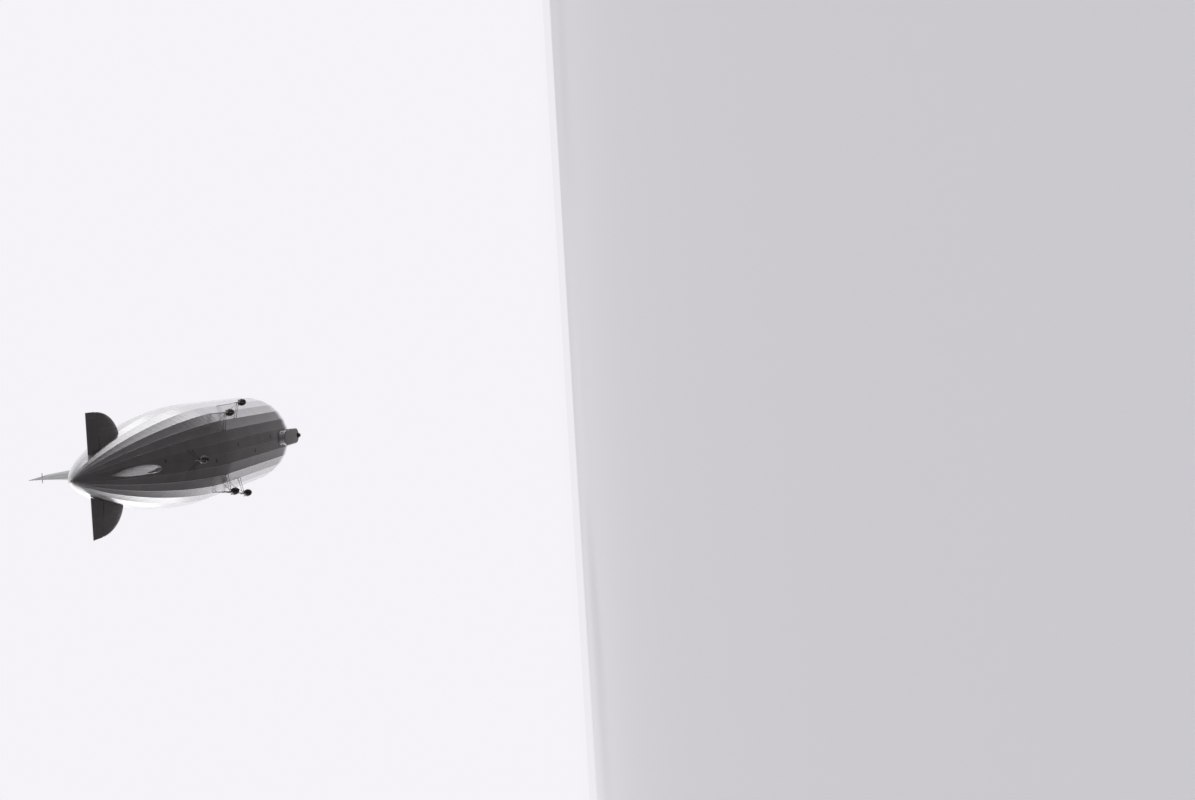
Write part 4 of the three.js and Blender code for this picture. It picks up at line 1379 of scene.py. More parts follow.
@dataclass(frozen=True)
class CarForm:
    """Sizes that the five engine cars share, measured from a car's own middle."""

    tall: float = 1.12
    wall: float = 0.06
    half_length: float = 2.75
    profile: Sequence[Pair] = (
        (-2.75, 0.3), (-2.2, 0.54), (-1.4, 0.82), (-0.3, 1.03), (0.9, 1.08), (2.1, 0.96), (2.6, 0.75), (2.75, 0.5),
    )
    nose_places: Sequence[float] = (2.0, 2.15, 2.3, 2.42, 2.52, 2.6, 2.67, 2.72, 2.75)
    straps: Sequence[float] = (2.1, 0.5, -0.35, -1.4)
    window_middles: Pair = (0.95, 0.1)
    window_sill: float = 0.12
    window_height: float = 0.42
    window_width: float = 0.5
    saddle: Sequence[Pair] = ((2.22, 0.05), (2.1, 0.14), (1.3, 0.14), (-0.9, 0.14), (-1.2, 0.1), (-1.3, 0.04))
    saddle_top: float = 1.3096
    strut_half: Sequence[Pair] = (
        (0.11, 0.0), (0.09, 0.035), (0.04, 0.058), (-0.03, 0.055), (-0.09, 0.025), (-0.13, 0.0),
    )
    pipe: Sequence[Point] = (
        (-0.85, 0.62, 0.5), (-0.98, 0.74, 0.62), (-1.12, 0.81, 0.74), (-1.26, 0.85, 0.85), (-1.38, 0.865, 0.93),
    )
    slat: Sequence[Pair] = ((0.06, 0.012), (0.06, 0.022), (-0.03, -0.03), (-0.03, -0.04))
    louvre: Sequence[Pair] = ((0.045, -0.035), (0.045, -0.02), (-0.045, 0.012), (-0.045, -0.035))
    louvres: Pair = (-0.62, -1.32)
    engine_boxes: Sequence[tuple[Point, Point]] = (
        ((-0.88, -0.3, -0.48), (1.08, 0.3, -0.02)),
        ((-0.69, -0.32, -1.06), (-0.51, 0.32, -0.46)),
        ((0.71, -0.32, -1.06), (0.89, 0.32, -0.46)),
        ((-0.9, -0.4, -0.16), (1.1, 0.4, -0.08)),
    )
    flywheel: Sequence[Pair] = ((-1.3, 0.02), (-1.3, 0.2), (-1.2, 0.3), (-0.88, 0.34), (-0.86, 0.02))
    shaft: Pair = (-0.86, -3.16)
    cylinders: Pair = (-0.68, 0.92)
    cylinder_lean: float = 26.0
    spinner: Sequence[Pair] = (
        (0.02, 0.21), (-0.03, 0.21), (-0.05, 0.19), (-0.22, 0.13), (-0.31, 0.07), (-0.34, 0.02),
    )
    strut_plate: Sequence[Pair] = ((-0.3, -0.07), (0.3, -0.07), (0.3, 0.07), (-0.3, 0.07))
    strut_end: float = 0.997
    cuffs: Sequence[Pair] = ((0.02, 0.09), (0.97, 0.9))
    brace_shares: Pair = (0.08, 0.96)
    tie_share: float = 0.45
    hub: Pair = (-2.81, -3.23)
    hub_radius: float = 0.24
    blade: Sequence[Sequence[float]] = (
        (0.15, 0.16, 0.13, 60.0),
        (0.5, 0.26, 0.09, 48.0),
        (0.95, 0.3, 0.06, 34.0),
        (1.4, 0.25, 0.04, 25.0),
        (1.7, 0.1, 0.025, 21.0),
    )

    def windows(self, margin: float = 0.0) -> Iterable[tuple[int, float, float, float, float]]:
        """Yields each window's side, middle, half width, sill and head, widened by a margin."""
        low, high = self.window_sill - margin, self.window_sill + self.window_height + margin
        for side in SIDES:
            for middle in self.window_middles:
                yield side, middle, self.window_width / 2 + margin, low, high


CAR = CarForm()
CAR_RADIUS = smooth_curve(CAR.profile)


@dataclass
class EngineCar:
    """One engine car: shell, engine, struts and pusher propeller."""

    name: str
    station: float
    port: float
    up: float
    edges: tuple[int, int]
    feet: Pair = (1.3, -1.1)
    spread: float = 1.5

    def build(self) -> None:
        """Builds the car's pieces."""
        self._shell()
        self._trim()
        self._panes()
        self._engine()
        self._struts()
        self._propeller()

    def _placed(self, point: Point) -> Point:
        """Moves a point of the car into its place on the ship."""
        return (point[0] + self.station, point[1] + self.port, point[2] + self.up)

    def _on_shell(self, x: float, z: float, side: int, out: float = 0.0) -> Point:
        """Returns a point of the shell's flank at a height.

        Args:
            x: Where along the car.
            z: The height from the car's middle.
            side: 1 for port and -1 for starboard.
            out: How far outside the shell.

        Returns:
            The point.
        """
        return (x, side * (math.sqrt(max(0.0, CAR_RADIUS(x) ** 2 - (z / CAR.tall) ** 2)) + out), z)

    def _shell(self) -> None:
        """Builds the metal shell with its window openings."""
        shape = Shape()
        places = spaced(-CAR.half_length, -0.3, 14) + spaced(-0.3, 1.8, 8)[1:] + [*CAR.nose_places]
        outer = [(x, CAR_RADIUS(x)) for x in places]
        shape.turned(outer + [(x, r - CAR.wall) for x, r in reversed(outer)], 44, tall=CAR.tall, solid=False)
        made = shape.moved(self._placed).build(f"car_{self.name}_shell", [CAR_PAINTED_SHADE_SHEET], sharp=42)
        cuts = Shape()
        for side, middle, half, low, high in CAR.windows():
            cuts.block((middle, side * 0.925, (low + high) / 2), (half, 0.475, (high - low) / 2))
        carve(made, cuts.moved(self._placed))
        fit(made, "airframe", CAR_PAINTED_SHADE_SHEET.slot, "car_" + self.name)

    def _trim(self) -> None:
        """Builds the radiator, straps, window frames, vents, rear disc and exhausts."""
        shape = Shape()
        tall, front = CAR.tall, CAR_RADIUS(CAR.half_length) - CAR.wall
        shape.turned([(2.58, 0.01), (2.58, front), (2.62, front), (2.62, 0.01)], 36, tall=tall, finish=1)
        shape.tube(hoop(2.76, front + 0.02, 36, tall=tall), 0.035, closed=True)
        for z in spaced(-front * 0.94, front * 0.94, 8):
            half = math.sqrt(max(0.0, front * front - z * z)) - 0.01
            if half > 0.08:
                shape.sweep([(2.64, -half, z * tall), (2.64, half, z * tall)], CAR.slat)
        for x in CAR.straps:
            aft, fore, inside = x - 0.035, x + 0.035, CAR_RADIUS(x) - 0.02
            strap = [(aft, inside), (aft, CAR_RADIUS(aft) + 0.014), (fore, CAR_RADIUS(fore) + 0.014), (fore, inside)]
            shape.turned(strap, 44, tall=tall, solid=False)
        for side, middle, half, low, high in CAR.windows():
            up, along = spaced(low, high, 4), spaced(-half, half, 3)
            outline = [(-half, z) for z in up] + [(x, high) for x in along[1:-1]]
            outline += [(half, z) for z in reversed(up)] + [(x, low) for x in reversed(along[1:-1])]
            path = [self._on_shell(middle + x, z, side, 0.006) for x, z in outline]
            shape.tube(path, 0.024, 6, closed=True)
        for side in SIDES:
            for x in spaced(*CAR.louvres, 5):
                shape.sweep([self._on_shell(x, z, side, 0.03) for z in (-0.02, -0.36)], CAR.louvre)
            pipe = [Vector((x, side * y, z)) for x, y, z in CAR.pipe]
            shape.tube(pipe, 0.09, 14)
            shape.tube([pipe[1], pipe[1].lerp(pipe[2], 0.06)], 0.13, 14)
        rear = CAR_RADIUS(-CAR.half_length) - 0.01
        shape.turned([(-2.74, rear), (-2.7, rear), (-2.7, 0.14), (-2.74, 0.14)], 36, tall=tall, solid=False)
        shape.turned([(-2.76, 0.2), (-2.7, 0.2), (-2.7, 0.14), (-2.76, 0.14)], 24, solid=False)
        shape.moved(self._placed).place(f"car_{self.name}_trim", [STRUT_PAINT, RADIATOR_CORE], sharp=35)

    def _panes(self) -> None:
        """Builds the window panes just inside the shell."""
        shape = Shape()
        for side, middle, half, low, high in CAR.windows(0.02):
            up = spaced(low, high, 4)
            edge = [(z, -0.066) for z in up] + [(z, -0.08) for z in reversed(up)]
            places = spaced(middle - half, middle + half, 3)
            shape.solid([[self._on_shell(x, z, side, out) for z, out in edge] for x in places])
        shape.moved(self._placed).place(f"car_{self.name}_panes", [WINDOW_GLASS])

    def _engine(self) -> None:
        """Builds the twelve-cylinder engine on its bearers, with the propeller shaft."""
        shape = Shape()
        for corners in CAR.engine_boxes:
            shape.box(*corners)
        lean = math.radians(CAR.cylinder_lean)
        for side in SIDES:
            way = Vector((0.0, math.sin(lean) * side, math.cos(lean)))
            for x in spaced(*CAR.cylinders, 5):
                foot = Vector((x, side * 0.1, -0.04))
                shape.tube([foot, foot + way * 0.21, foot + way * 0.42], 0.11, 12)
            cover = [Vector((x, side * 0.1, -0.04)) + way * 0.45 for x in (-0.8, 0.98)]
            shape.sweep(cover, oval(0.05, 0.11, 10), UP)
            shape.tube([(0.9, side * 0.4, 0.2), (-0.75, side * 0.4, 0.2), (-0.86, side * 0.5, 0.34)], 0.05)
        shape.tube([(x, 0.0, 0.0) for x in CAR.shaft], 0.09, 16)
        shape.turned(CAR.flywheel, 20)
        made = shape.moved(self._placed)
        made.place(f"engine_{self.name}_block", [ENGINE_IRON], "engine_" + self.name, bevel=0.012)

    def _struts(self) -> None:
        """Builds the streamlined struts, the saddle, the ladder and the bracing wires."""
        shape, wires = Shape(), Shape()
        top, drop = CAR.saddle_top, mirrored(CAR.strut_half)
        rows = []
        for x, half in CAR.saddle:
            base = CAR_RADIUS(x) * CAR.tall - 0.04
            side = [(x, half, base), (x, half * 0.9, top - 0.02), (x, half * 0.6, top)]
            rows.append(side + [(x, -y, z) for _, y, z in reversed(side)])
        shape.solid(rows)
        shape.moved(self._placed)
        lines = {}
        for foot in self.feet:
            for edge in self.edges:
                start = Vector(self._placed((foot, 0.0, top - 0.1)))
                x, y, z = HULL.ridge(self.station + foot * self.spread, edge)
                end = Vector((x, y * CAR.strut_end, z * CAR.strut_end))
                lines[foot, edge] = (start, end)
                shape.sweep([start.lerp(end, t) for t in (0.0, 0.5, 1.0)], drop)
                for near, far in CAR.cuffs:
                    shape.sweep([start.lerp(end, near), start.lerp(end, far)], oval(0.14, 0.075, 12))
                faces, plate = (-0.012, 0.03), CAR.strut_plate
                shape.solid([[HULL.ridge(x + dx, edge + de, depth) for dx, de in plate] for depth in faces])
        fore, aft = self.feet
        inner, outer = self.edges
        shape.sweep([lines[fore, outer][0], lines[aft, outer][1]], [(a * 0.7, b * 0.7) for a, b in drop])
        low, high = CAR.brace_shares
        pairs = [(a, b, edge) for edge in self.edges for a, b in ((fore, aft), (aft, fore))]
        braces = [(lines[a, edge], low, lines[b, edge], high) for a, b, edge in pairs]
        braces += [(lines[foot, inner], high, lines[foot, outer], CAR.tie_share) for foot in self.feet]
        for (a, b), share, (c, d), other in braces:
            wires.tube([a.lerp(b, share), c.lerp(d, other)], 0.014, 5)
        self._ladder(shape)
        shape.place(f"struts_{self.name}_bars", [STRUT_PAINT], "struts_" + self.name, sharp=35)
        wires.place(f"struts_{self.name}_wires", [SPINDLE_STEEL], slot=STRUT_PAINT.slot)

    def _ladder(self, shape: Shape) -> None:
        """Adds the ladder from the car's saddle up to the hull to a shape."""
        x, half = self.station + 1.95, 0.21
        start = Vector((x, self.port, self.up + CAR.saddle_top - 0.1))
        end = Vector(HULL.ridge(x, sum(self.edges) / 2))
        for side in SIDES:
            shape.tube([(x + side * half, *start.yz), (x + side * half, *end.yz)], 0.033)
        rungs = int((end - start).length / 0.36)
        for rung in range(1, rungs):
            here = start.lerp(end, rung / rungs)
            shape.tube([(x - half, here.y, here.z), (x + half, here.y, here.z)], 0.022, 6)

    def _propeller(self) -> None:
        """Builds the two-blade wooden propeller with sheathed edges and a bolted hub."""
        front, rear = CAR.hub
        chord, thick, pitch = (smooth_curve([(row[0], row[k]) for row in CAR.blade]) for k in (1, 2, 3))
        wood, metal = Shape(), Shape()
        tips = {1.67: 1.0, 1.69: 0.82, 1.7: 0.55}

        def section(radius: float, way: int) -> list[Point]:
            """Returns a blade's section at a radius."""
            angle = math.radians(pitch(radius))
            size, points = chord(radius) * tips.get(radius, 1.0), []
            for turn in around(18):
                u = -0.5 * size * math.cos(turn)
                lift = 0.525 if math.sin(turn) > 0 else 0.336
                v = lift * thick(radius) * math.sin(turn) * (1.0 + 0.35 * math.cos(turn))
                x = front - 0.23 + u * math.sin(angle) + v * math.cos(angle)
                points.append(Vector((x, way * (u * math.cos(angle) - v * math.sin(angle)), way * radius)))
            return points

        for way in (1, -1):
            rows = [section(radius, way) for radius in [*spaced(0.1, 1.64, 22), *tips]]
            wood.solid(rows)
            sheath = []
            for row in rows[9:]:
                middle = sum(row, Vector()) / len(row)
                lead = [row[k] for k in range(-3, 4)]
                sheath.append([p + (p - middle).normalized() * 0.004 for p in lead])
                sheath[-1] += [middle.lerp(p, 0.8) for p in (lead[-1], lead[0])]
            metal.solid(sheath)
        rim = CAR.hub_radius - 0.01
        hub = [(front, 0.1), (front, 0.2), (front - 0.03, rim), (rear + 0.03, rim), (rear, 0.2), (rear, 0.1)]
        wood.turned(hub, 32, solid=False)
        plate = [(front + 0.005, 0.1), (front + 0.005, 0.17), (front - 0.03, 0.17), (front - 0.03, 0.1)]
        metal.turned(plate, 24, solid=False)
        metal.turned([(rear + x, r) for x, r in CAR.spinner], 28)
        bolt = [(rear + x, r) for x, r in ((-0.02, 0.01), (-0.02, 0.02), (-0.075, 0.02), (-0.075, 0.01))]
        for turn in around(8):
            a = turn + math.pi / 8
            metal.turned(bolt, 6, (0.165 * math.sin(a), 0.165 * math.cos(a)))
        body = "propeller_" + self.name
        wood.moved(self._placed).place(body + "_blades", [BLADE_WOOD], body, body=body, sharp=45)
        metal.moved(self._placed).place(body + "_metal", [BLADE_SHEATH], body=body, sharp=35)


# Gondola


class Wall(Enum):
    """The part of the gondola's outline that a window is in."""

    FRONT = "front"
    SIDE = "side"
    REAR = "rear"


@dataclass(frozen=True)
class Window:
    """One window, which is there on both sides unless it is in the middle."""

    wall: Wall
    at: float
    width: float
    sill: float
    height: float
    arched: bool = False
    bars: int = 0
    rise: float = 0.35

    @property
    def top(self) -> float:
        """Returns the height of its head, or of its arch's foot."""
        return self.sill + self.height

    def arch(self, count: int) -> list[Pair]:
        """Returns the points of its arch between the two feet, if it has one."""
        turns = spaced(0, math.pi, count)[1:-1] if self.arched else []
        return [(self.width / 2 * math.cos(a), self.top + self.rise * math.sin(a)) for a in turns]

    def head(self, u: float) -> float:
        """Returns the height of its upper edge at a distance from its middle."""
        return self.top + (self.rise * math.sqrt(1 - (2 * u / self.width) ** 2) if self.arched else 0.0)


@dataclass(frozen=True)
class GondolaForm:
    """The gondola's outline seen from above: straight sides, rounded front and tapered rear."""

    half_width: float = 2.6
    front: float = 215.1
    front_length: float = 6.0
    rear: float = 198.1
    rear_length: float = 7.0
    bottom: float = -17.45
    floor_top: float = -17.15
    wall: float = 0.07
    door_fore: float = 213.1
    door_aft: float = 212.1

    def outline_point(self, turn: float, out: float = 0.0) -> Pair:
        """Returns a point of the rounded ends.

        Args:
            turn: Degrees from straight ahead, to port when positive, up to 90 for the front's end and from 90
                to 180 for the rear.
            out: How far outside the outline.

        Returns:
            The station and the distance to port.
        """
        start, length = (self.front, self.front_length) if abs(turn) <= 90 else (self.rear, self.rear_length)
        a = math.radians(turn)
        return (start + (length + out) * math.cos(a), (self.half_width + out) * math.sin(a))

    def strip(self, start: float, end: int, side: int, out: float = 0.0) -> list[Pair]:
        """Returns the outline from a station to the middle of the front or rear on one side.

        Args:
            start: The station where it starts, on the straight side.
            end: 1 for the front and -1 for the rear.
            side: 1 for port and -1 for starboard.
            out: How far outside the outline.

        Returns:
            The points in order.
        """
        stop = self.front if end > 0 else self.rear
        straight = spaced(start, stop, max(1, round(abs(stop - start) / 0.45)))
        turns = spaced(90, 90 - 90 * end, 22)[1:]
        rounded = [self.outline_point(side * turn, out) for turn in turns]
        return [(x, side * (self.half_width + out)) for x in straight] + rounded

    def whole(self, out: float = 0.0) -> list[Pair]:
        """Returns the whole outline once round."""
        ends = [self.strip(206.0, end, side, out) for end, side in ((1, 1), (1, -1), (-1, -1), (-1, 1))]
        return ends[0] + ends[1][-2::-1] + ends[2][1:] + ends[3][-2:0:-1]

    def on_wall(self, window: Window, side: int, outline: Iterable[Pair], out: float) -> list[Point]:
        """Returns points outside the wall, from their distances to a window's middle and their heights."""
        return [(*self.beside(window, side, u, out), z) for u, z in outline]

    def beside(self, window: Window, side: int, u: float, out: float) -> Pair:
        """Returns a point of the wall beside a window's middle.

        Args:
            window: The window.
            side: 1 for port and -1 for starboard.
            u: The distance from the window's middle along its own plane.
            out: How far outside the wall.

        Returns:
            The station and the distance to port.
        """
        if window.wall is Wall.SIDE:
            return (window.at + u, side * (self.half_width + out))
        ahead, wide = window.wall is Wall.FRONT, self.half_width
        start, length = (self.front, self.front_length) if ahead else (self.rear, -self.rear_length)
        a = math.radians(window.at)
        facing = math.atan2(math.sin(a) / wide, math.cos(a) / length)
        nx, ny = math.cos(facing), math.sin(facing)
        px, py = length * math.cos(a) - ny * u, wide * math.sin(a) + nx * u
        first = (nx / length) ** 2 + (ny / wide) ** 2
        second = -2 * (px * nx / length**2 + py * ny / wide**2)
        third = (px / length) ** 2 + (py / wide) ** 2 - 1
        depth = (-second - math.sqrt(max(0.0, second * second - 4 * first * third))) / (2 * first)
        return (start + px + nx * (out - depth), side * (py + ny * (out - depth)))


GONDOLA = GondolaForm()

WINDOWS = (
    Window(Wall.FRONT, 0, 1.2, -16.35, 1.2),
    Window(Wall.FRONT, 25, 1.2, -16.35, 1.2),
    Window(Wall.FRONT, 47, 1.4, -16.35, 1.2, bars=1),
    Window(Wall.FRONT, 68, 1.5, -16.35, 1.2, bars=1),
    Window(Wall.FRONT, 84, 0.9, -16.35, 1.1),
    Window(Wall.SIDE, 214.1, 1.1, -16.3, 0.95),
    Window(Wall.SIDE, 211.0, 0.8, -16.25, 0.75),
    Window(Wall.SIDE, 208.8, 1.5, -16.35, 0.75, True, 2),
    Window(Wall.SIDE, 206.6, 1.5, -16.35, 0.75, True, 2),
    Window(Wall.SIDE, 204.3, 0.9, -16.2, 0.65),
    Window(Wall.SIDE, 202.3, 0.9, -16.2, 0.65),
    Window(Wall.SIDE, 200.3, 0.9, -16.2, 0.65),
    Window(Wall.REAR, 75, 0.8, -16.2, 0.65),
    Window(Wall.REAR, 56, 0.8, -16.2, 0.65),
)


@dataclass
class Gondola:
    """The gondola under the bow: floor, walls, windows, door and rooms."""

    pan_levels: Sequence[Pair] = (
        (-0.62, 0.0), (-0.35, 0.0), (-0.18, 0.03), (-0.08, 0.1), (-0.02, 0.2), (0.0, 0.24), (0.0, 0.3),
    )
    handrail_reach: float = 0.17
    handrail_height: float = -17.28
    handrail_turns: Sequence[float] = (0, -30, 30, -55, 55, -75, 75, -105, 105, -125, 125, -150, 150, 180)
    wall_levels: Sequence[float] = (0.0, 0.1, 0.24, 0.42, 0.6, 0.78, 0.92, 1.0)
    sill: Sequence[Pair] = ((0.02, 0.04), (0.02, -0.05), (-0.02, -0.05), (-0.02, 0.045))
    glass_heights: Pair = (-16.5, -15.06)
    glass_thickness: float = 0.03
    mat_top: float = -17.11
    mat_foot: float = -17.147
    door_gap: float = 0.055
    door_margin: float = 0.24
    door_window: Pair = (-16.3, -15.4)
    doorway: Pair = (0.4, 1.95)
    curtain_inset: float = 0.15
    curtain_half: float = 0.1
    fold_depth: float = 0.016
    table_stations: Pair = (207.7, 210.6)
    table_foot: Sequence[Pair] = (
        (0.0, 0.2), (0.03, 0.2), (0.06, 0.09), (0.2, 0.05), (0.35, 0.065), (0.5, 0.05), (0.62, 0.08),
    )
    chair_half: float = 0.22
    chair_legs: Pair = (0.38, 0.92)
    chair_slats: Sequence[float] = (0.55, 0.7, 0.86)
    slat: Sequence[Pair] = ((0.035, 0.012), (0.035, -0.012), (-0.035, -0.012), (-0.035, 0.012))
    seat_pad: Sequence[Pair] = (
        (0.7, 0.392), (0.95, 0.396), (1.0, 0.415), (0.93, 0.436), (0.7, 0.448), (0.4, 0.452), (0.12, 0.454),
    )

    def build(self) -> None:
        """Builds the gondola's pieces."""
        self._floor()
        self._handrail()
        self._walls()
        self._frames()
        self._glazing()
        self._door()
        self._bulkheads()
        self._lounge()
        self._curtains()
        self._control_room()

    @staticmethod
    def _windows() -> Iterable[tuple[Window, int]]:
        """Yields each window with its side, the middle one once."""
        yield from ((window, side) for window in WINDOWS for side in ((1, -1) if window.at else (1,)))

    def _floor(self) -> None:
        """Builds the floor's boat-shaped underside."""
        shape = Shape()
        shape.grid(
            [[(x, y, GONDOLA.bottom + up) for x, y in GONDOLA.whole(out)] for out, up in self.pan_levels],
            caps=True,
            uv=lambda r, c: (c * 0.45, r * 0.2),
            reach=lambda r, c: (0.1 + abs(r - 5) * 0.1 if r != 5 else 0.0, 0.45 * min(c % 8, 8 - c % 8)),
        )
        shape.place("gondola_floor_pan", [PAN_CLOTH], "gondola_floor", sharp=28)

    def _handrail(self) -> None:
        """Builds the handrail round the floor, on its brackets."""
        rail = Shape()
        z, reach = self.handrail_height, self.handrail_reach
        rail.tube([(x, y, z) for x, y in GONDOLA.whole(reach)], 0.03, closed=True)
        for station in range(199, 216, 2):
            for side in SIDES:
                y = side * GONDOLA.half_width
                rail.tube([(station, y - side * 0.02, z), (station, y + side * reach, z)], 0.018, 6)
                rail.block((station, y + side * 0.01, z), (0.06, 0.01, 0.06))
        for turn in self.handrail_turns:
            rail.tube([(*GONDOLA.outline_point(turn, out), z) for out in (-0.02, reach)], 0.018, 6)
        rail.place("gondola_handrail", [STRUT_PAINT])

    def _wall(self, name: str, path: Sequence[Pair], inner: Sequence[Pair]) -> bpy.types.Object:
        """Builds a stretch of wall from the floor up to the hull.

        Args:
            name: The piece's name.
            path: The outside of the wall, seen from above.
            inner: The inside of the wall at the same places.

        Returns:
            The wall, still without its windows.
        """
        rows, runs = [], [0.0]
        for (x, y), (ix, iy), after in zip(path, inner, [*path[1:], path[-1]]):
            low, top = GONDOLA.floor_top + GAP, HULL.underside(x, y) + 0.03
            heights = [between(low, top, share) for share in self.wall_levels]
            rows.append([(x, y, z) for z in heights] + [(ix, iy, z) for z in reversed(heights)])
            runs.append(runs[-1] + math.dist((x, y), after))
        shape = Shape()
        shape.grid(rows, caps=True, uv=lambda r, c: (runs[r], rows[r][c % len(rows[r])][2]))
        return shape.build(name, [GONDOLA_CLOTH], sharp=28)

    @staticmethod
    def _opening(window: Window, side: int) -> Shape:
        """Returns a window's opening as a shape.

        Args:
            window: The window.
            side: 1 for port and -1 for starboard.

        Returns:
            The shape, which reaches through the wall.
        """
        half = window.width / 2
        outline = [(-half, 0.0), (half, 0.0), (half, window.height)]
        outline += [(u, z - window.sill) for u, z in window.arch(12)] + [(-half, window.height)]
        centre = Vector((*GONDOLA.beside(window, side, 0.0, 0.0), window.sill))
        n = Vector((*GONDOLA.beside(window, side, 0.0, 1.0), window.sill)) - centre
        t = Vector((-n.y, n.x, 0.0))
        shape = Shape()
        shape.solid([[centre + n * depth + t * u + Vector(UP) * v for u, v in outline] for depth in (-0.4, 0.3)])
        return shape

    def _walls(self) -> None:
        """Builds the front and the two side walls, and cuts their windows."""
        faces = (0.0, -GONDOLA.wall)
        halves = [[GONDOLA.strip(GONDOLA.door_fore, 1, side, out) for side in SIDES] for out in faces]
        walls = {"gondola_front": self._wall("gondola_front_wall", *(s + p[-2::-1] for s, p in halves))}
        sides = (("gondola_wall_port", GONDOLA.door_fore - GAP, 1), ("gondola_wall_starboard", GONDOLA.door_aft, -1))
        for node, start, side in sides:
            paths = [GONDOLA.strip(start, -1, side, out) for out in faces]
            for path in paths:
                path[-1] = (path[-1][0], side * GAP / 2)
            walls[node] = self._wall(node + "_panels", *paths)
        for window, side in self._windows():
            ahead = window.wall is Wall.FRONT or (window.wall is Wall.SIDE and window.at > GONDOLA.door_fore)
            node = "gondola_front" if ahead else "gondola_wall_port" if side > 0 else "gondola_wall_starboard"
            carve(walls[node], self._opening(window, side))
        for node, wall in walls.items():
            even_out(wall)
            fit(wall, "airframe", GONDOLA_CLOTH.slot, node)

    def _frames(self) -> None:
        """Builds window frames, glazing bars and the beads along the walls."""
        shape = Shape()
        for window, side in self._windows():
            half, top, low = window.width / 2, window.top, window.sill
            across, up = spaced(-half, half, 6), spaced(low, top, 3)
            path = [(u, low) for u in across] + [(half, z) for z in up[1:]]
            path += window.arch(14) or [(u, top) for u in across[-2:0:-1]]
            path += [(-half, z) for z in up[:0:-1]]
            shape.tube(GONDOLA.on_wall(window, side, path, 0.004), 0.032, closed=True)
            bars = [[(u, low), (u, window.head(u))] for u in spaced(-half, half, window.bars + 1)[1:-1]]
            bars += [[(u, top) for u in across]] if window.arched else []
            for bar in bars:
                shape.tube(GONDOLA.on_wall(window, side, bar, -0.02), 0.018, 6)
            sill = [(u, low - 0.045) for u in spaced(-half - 0.05, half + 0.05, 6)]
            shape.sweep(GONDOLA.on_wall(window, side, sill, 0.03), self.sill, UP)
        for height, radius in ((-17.12, 0.028), (-16.62, 0.018)):
            for start, end, side in ((212.98, 1, 1), (213.16, 1, -1), (212.98, -1, 1), (212.04, -1, -1)):
                shape.tube([(x, y, height) for x, y in GONDOLA.strip(start, end, side, 0.006)], radius, 6)
        shape.place("gondola_frames", [FRAME_PAINT], sharp=40)

    def _glazing(self) -> None:
        """Builds the glass behind the openings."""
        outside, (low, high) = GONDOLA.wall + GAP, self.glass_heights
        fore, aft = GONDOLA.door_fore, GONDOLA.door_aft
        strips = {
            "glazing_front": [(fore, 1, -1), (fore, 1, 1)],
            "glazing_port": [(fore - GAP, -1, 1)],
            "glazing_starboard": [(aft, -1, -1)],
        }
        for node, runs in strips.items():
            shape = Shape()
            for start, end, side in runs:
                depths = (0.0, self.glass_thickness)
                faces = [GONDOLA.strip(start, end, side, -outside - depth) for depth in depths]
                for face in faces if end == side == 1 else ():
                    face[-1] = (face[-1][0], 0.001)
                levels = ((0, low), (0, high), (1, high), (1, low))
                shape.solid([[(*pair[face], z) for face, z in levels] for pair in zip(*faces)])
            shape.place(node + "_glass", [WINDOW_GLASS], node)

    def _door(self) -> None:
        """Builds the entrance door with its window, frame and handle."""
        low, (sill, head), margin = GONDOLA.floor_top + self.door_gap, self.door_window, self.door_margin
        aft, fore, y = GONDOLA.door_aft + self.door_gap, GONDOLA.door_fore - GAP, -GONDOLA.half_width
        shape, hole, trim, pane = Shape(), Shape(), Shape(), Shape()
        rows = []
        for x in spaced(aft, fore, 6):
            heights = spaced(low, HULL.underside(x, y) - 0.09, 8)
            rows.append([(x, y, z) for z in heights] + [(x, y + GONDOLA.wall, z) for z in reversed(heights)])
        shape.grid(rows, caps=True, reach=lambda r, c: (0.3, 0.3 if 0 < r < 6 else 0.0))
        leaf = shape.build("gondola_door_leaf", [PAN_CLOTH])
        hole.box((aft + margin, y - 0.3, sill), (fore - margin, y + 0.3, head))
        carve(leaf, hole)
        fit(leaf, "door", PAN_CLOTH.slot, "gondola_door")
        edge = heights[-1] - 0.1
        for inset, z0, z1, radius in ((margin, sill, head, 0.026), (0.06, low + 0.06, edge, 0.014)):
            x0, x1 = aft + inset, fore - inset
            trim.tube([(x, y - 0.004, z) for x, z in ((x0, z0), (x1, z0), (x1, z1), (x0, z1))], radius, closed=True)
        handle = ((0.005, -16.55), (0.05, -16.55), (0.055, -16.3), (0.005, -16.3))
        trim.tube([(aft + 0.12, y - out, z) for out, z in handle], 0.014)
        trim.box((aft + 0.07, y - 0.02, -16.62), (aft + 0.17, y, -16.22))
        trim.place("gondola_door_trim", [FRAME_PAINT], body="door", sharp=40)
        pane.box((aft + 0.2, y + 0.03, sill - 0.04), (fore - 0.2, y + 0.042, head + 0.04))
        pane.place("gondola_door_pane", [WINDOW_GLASS], body="door")

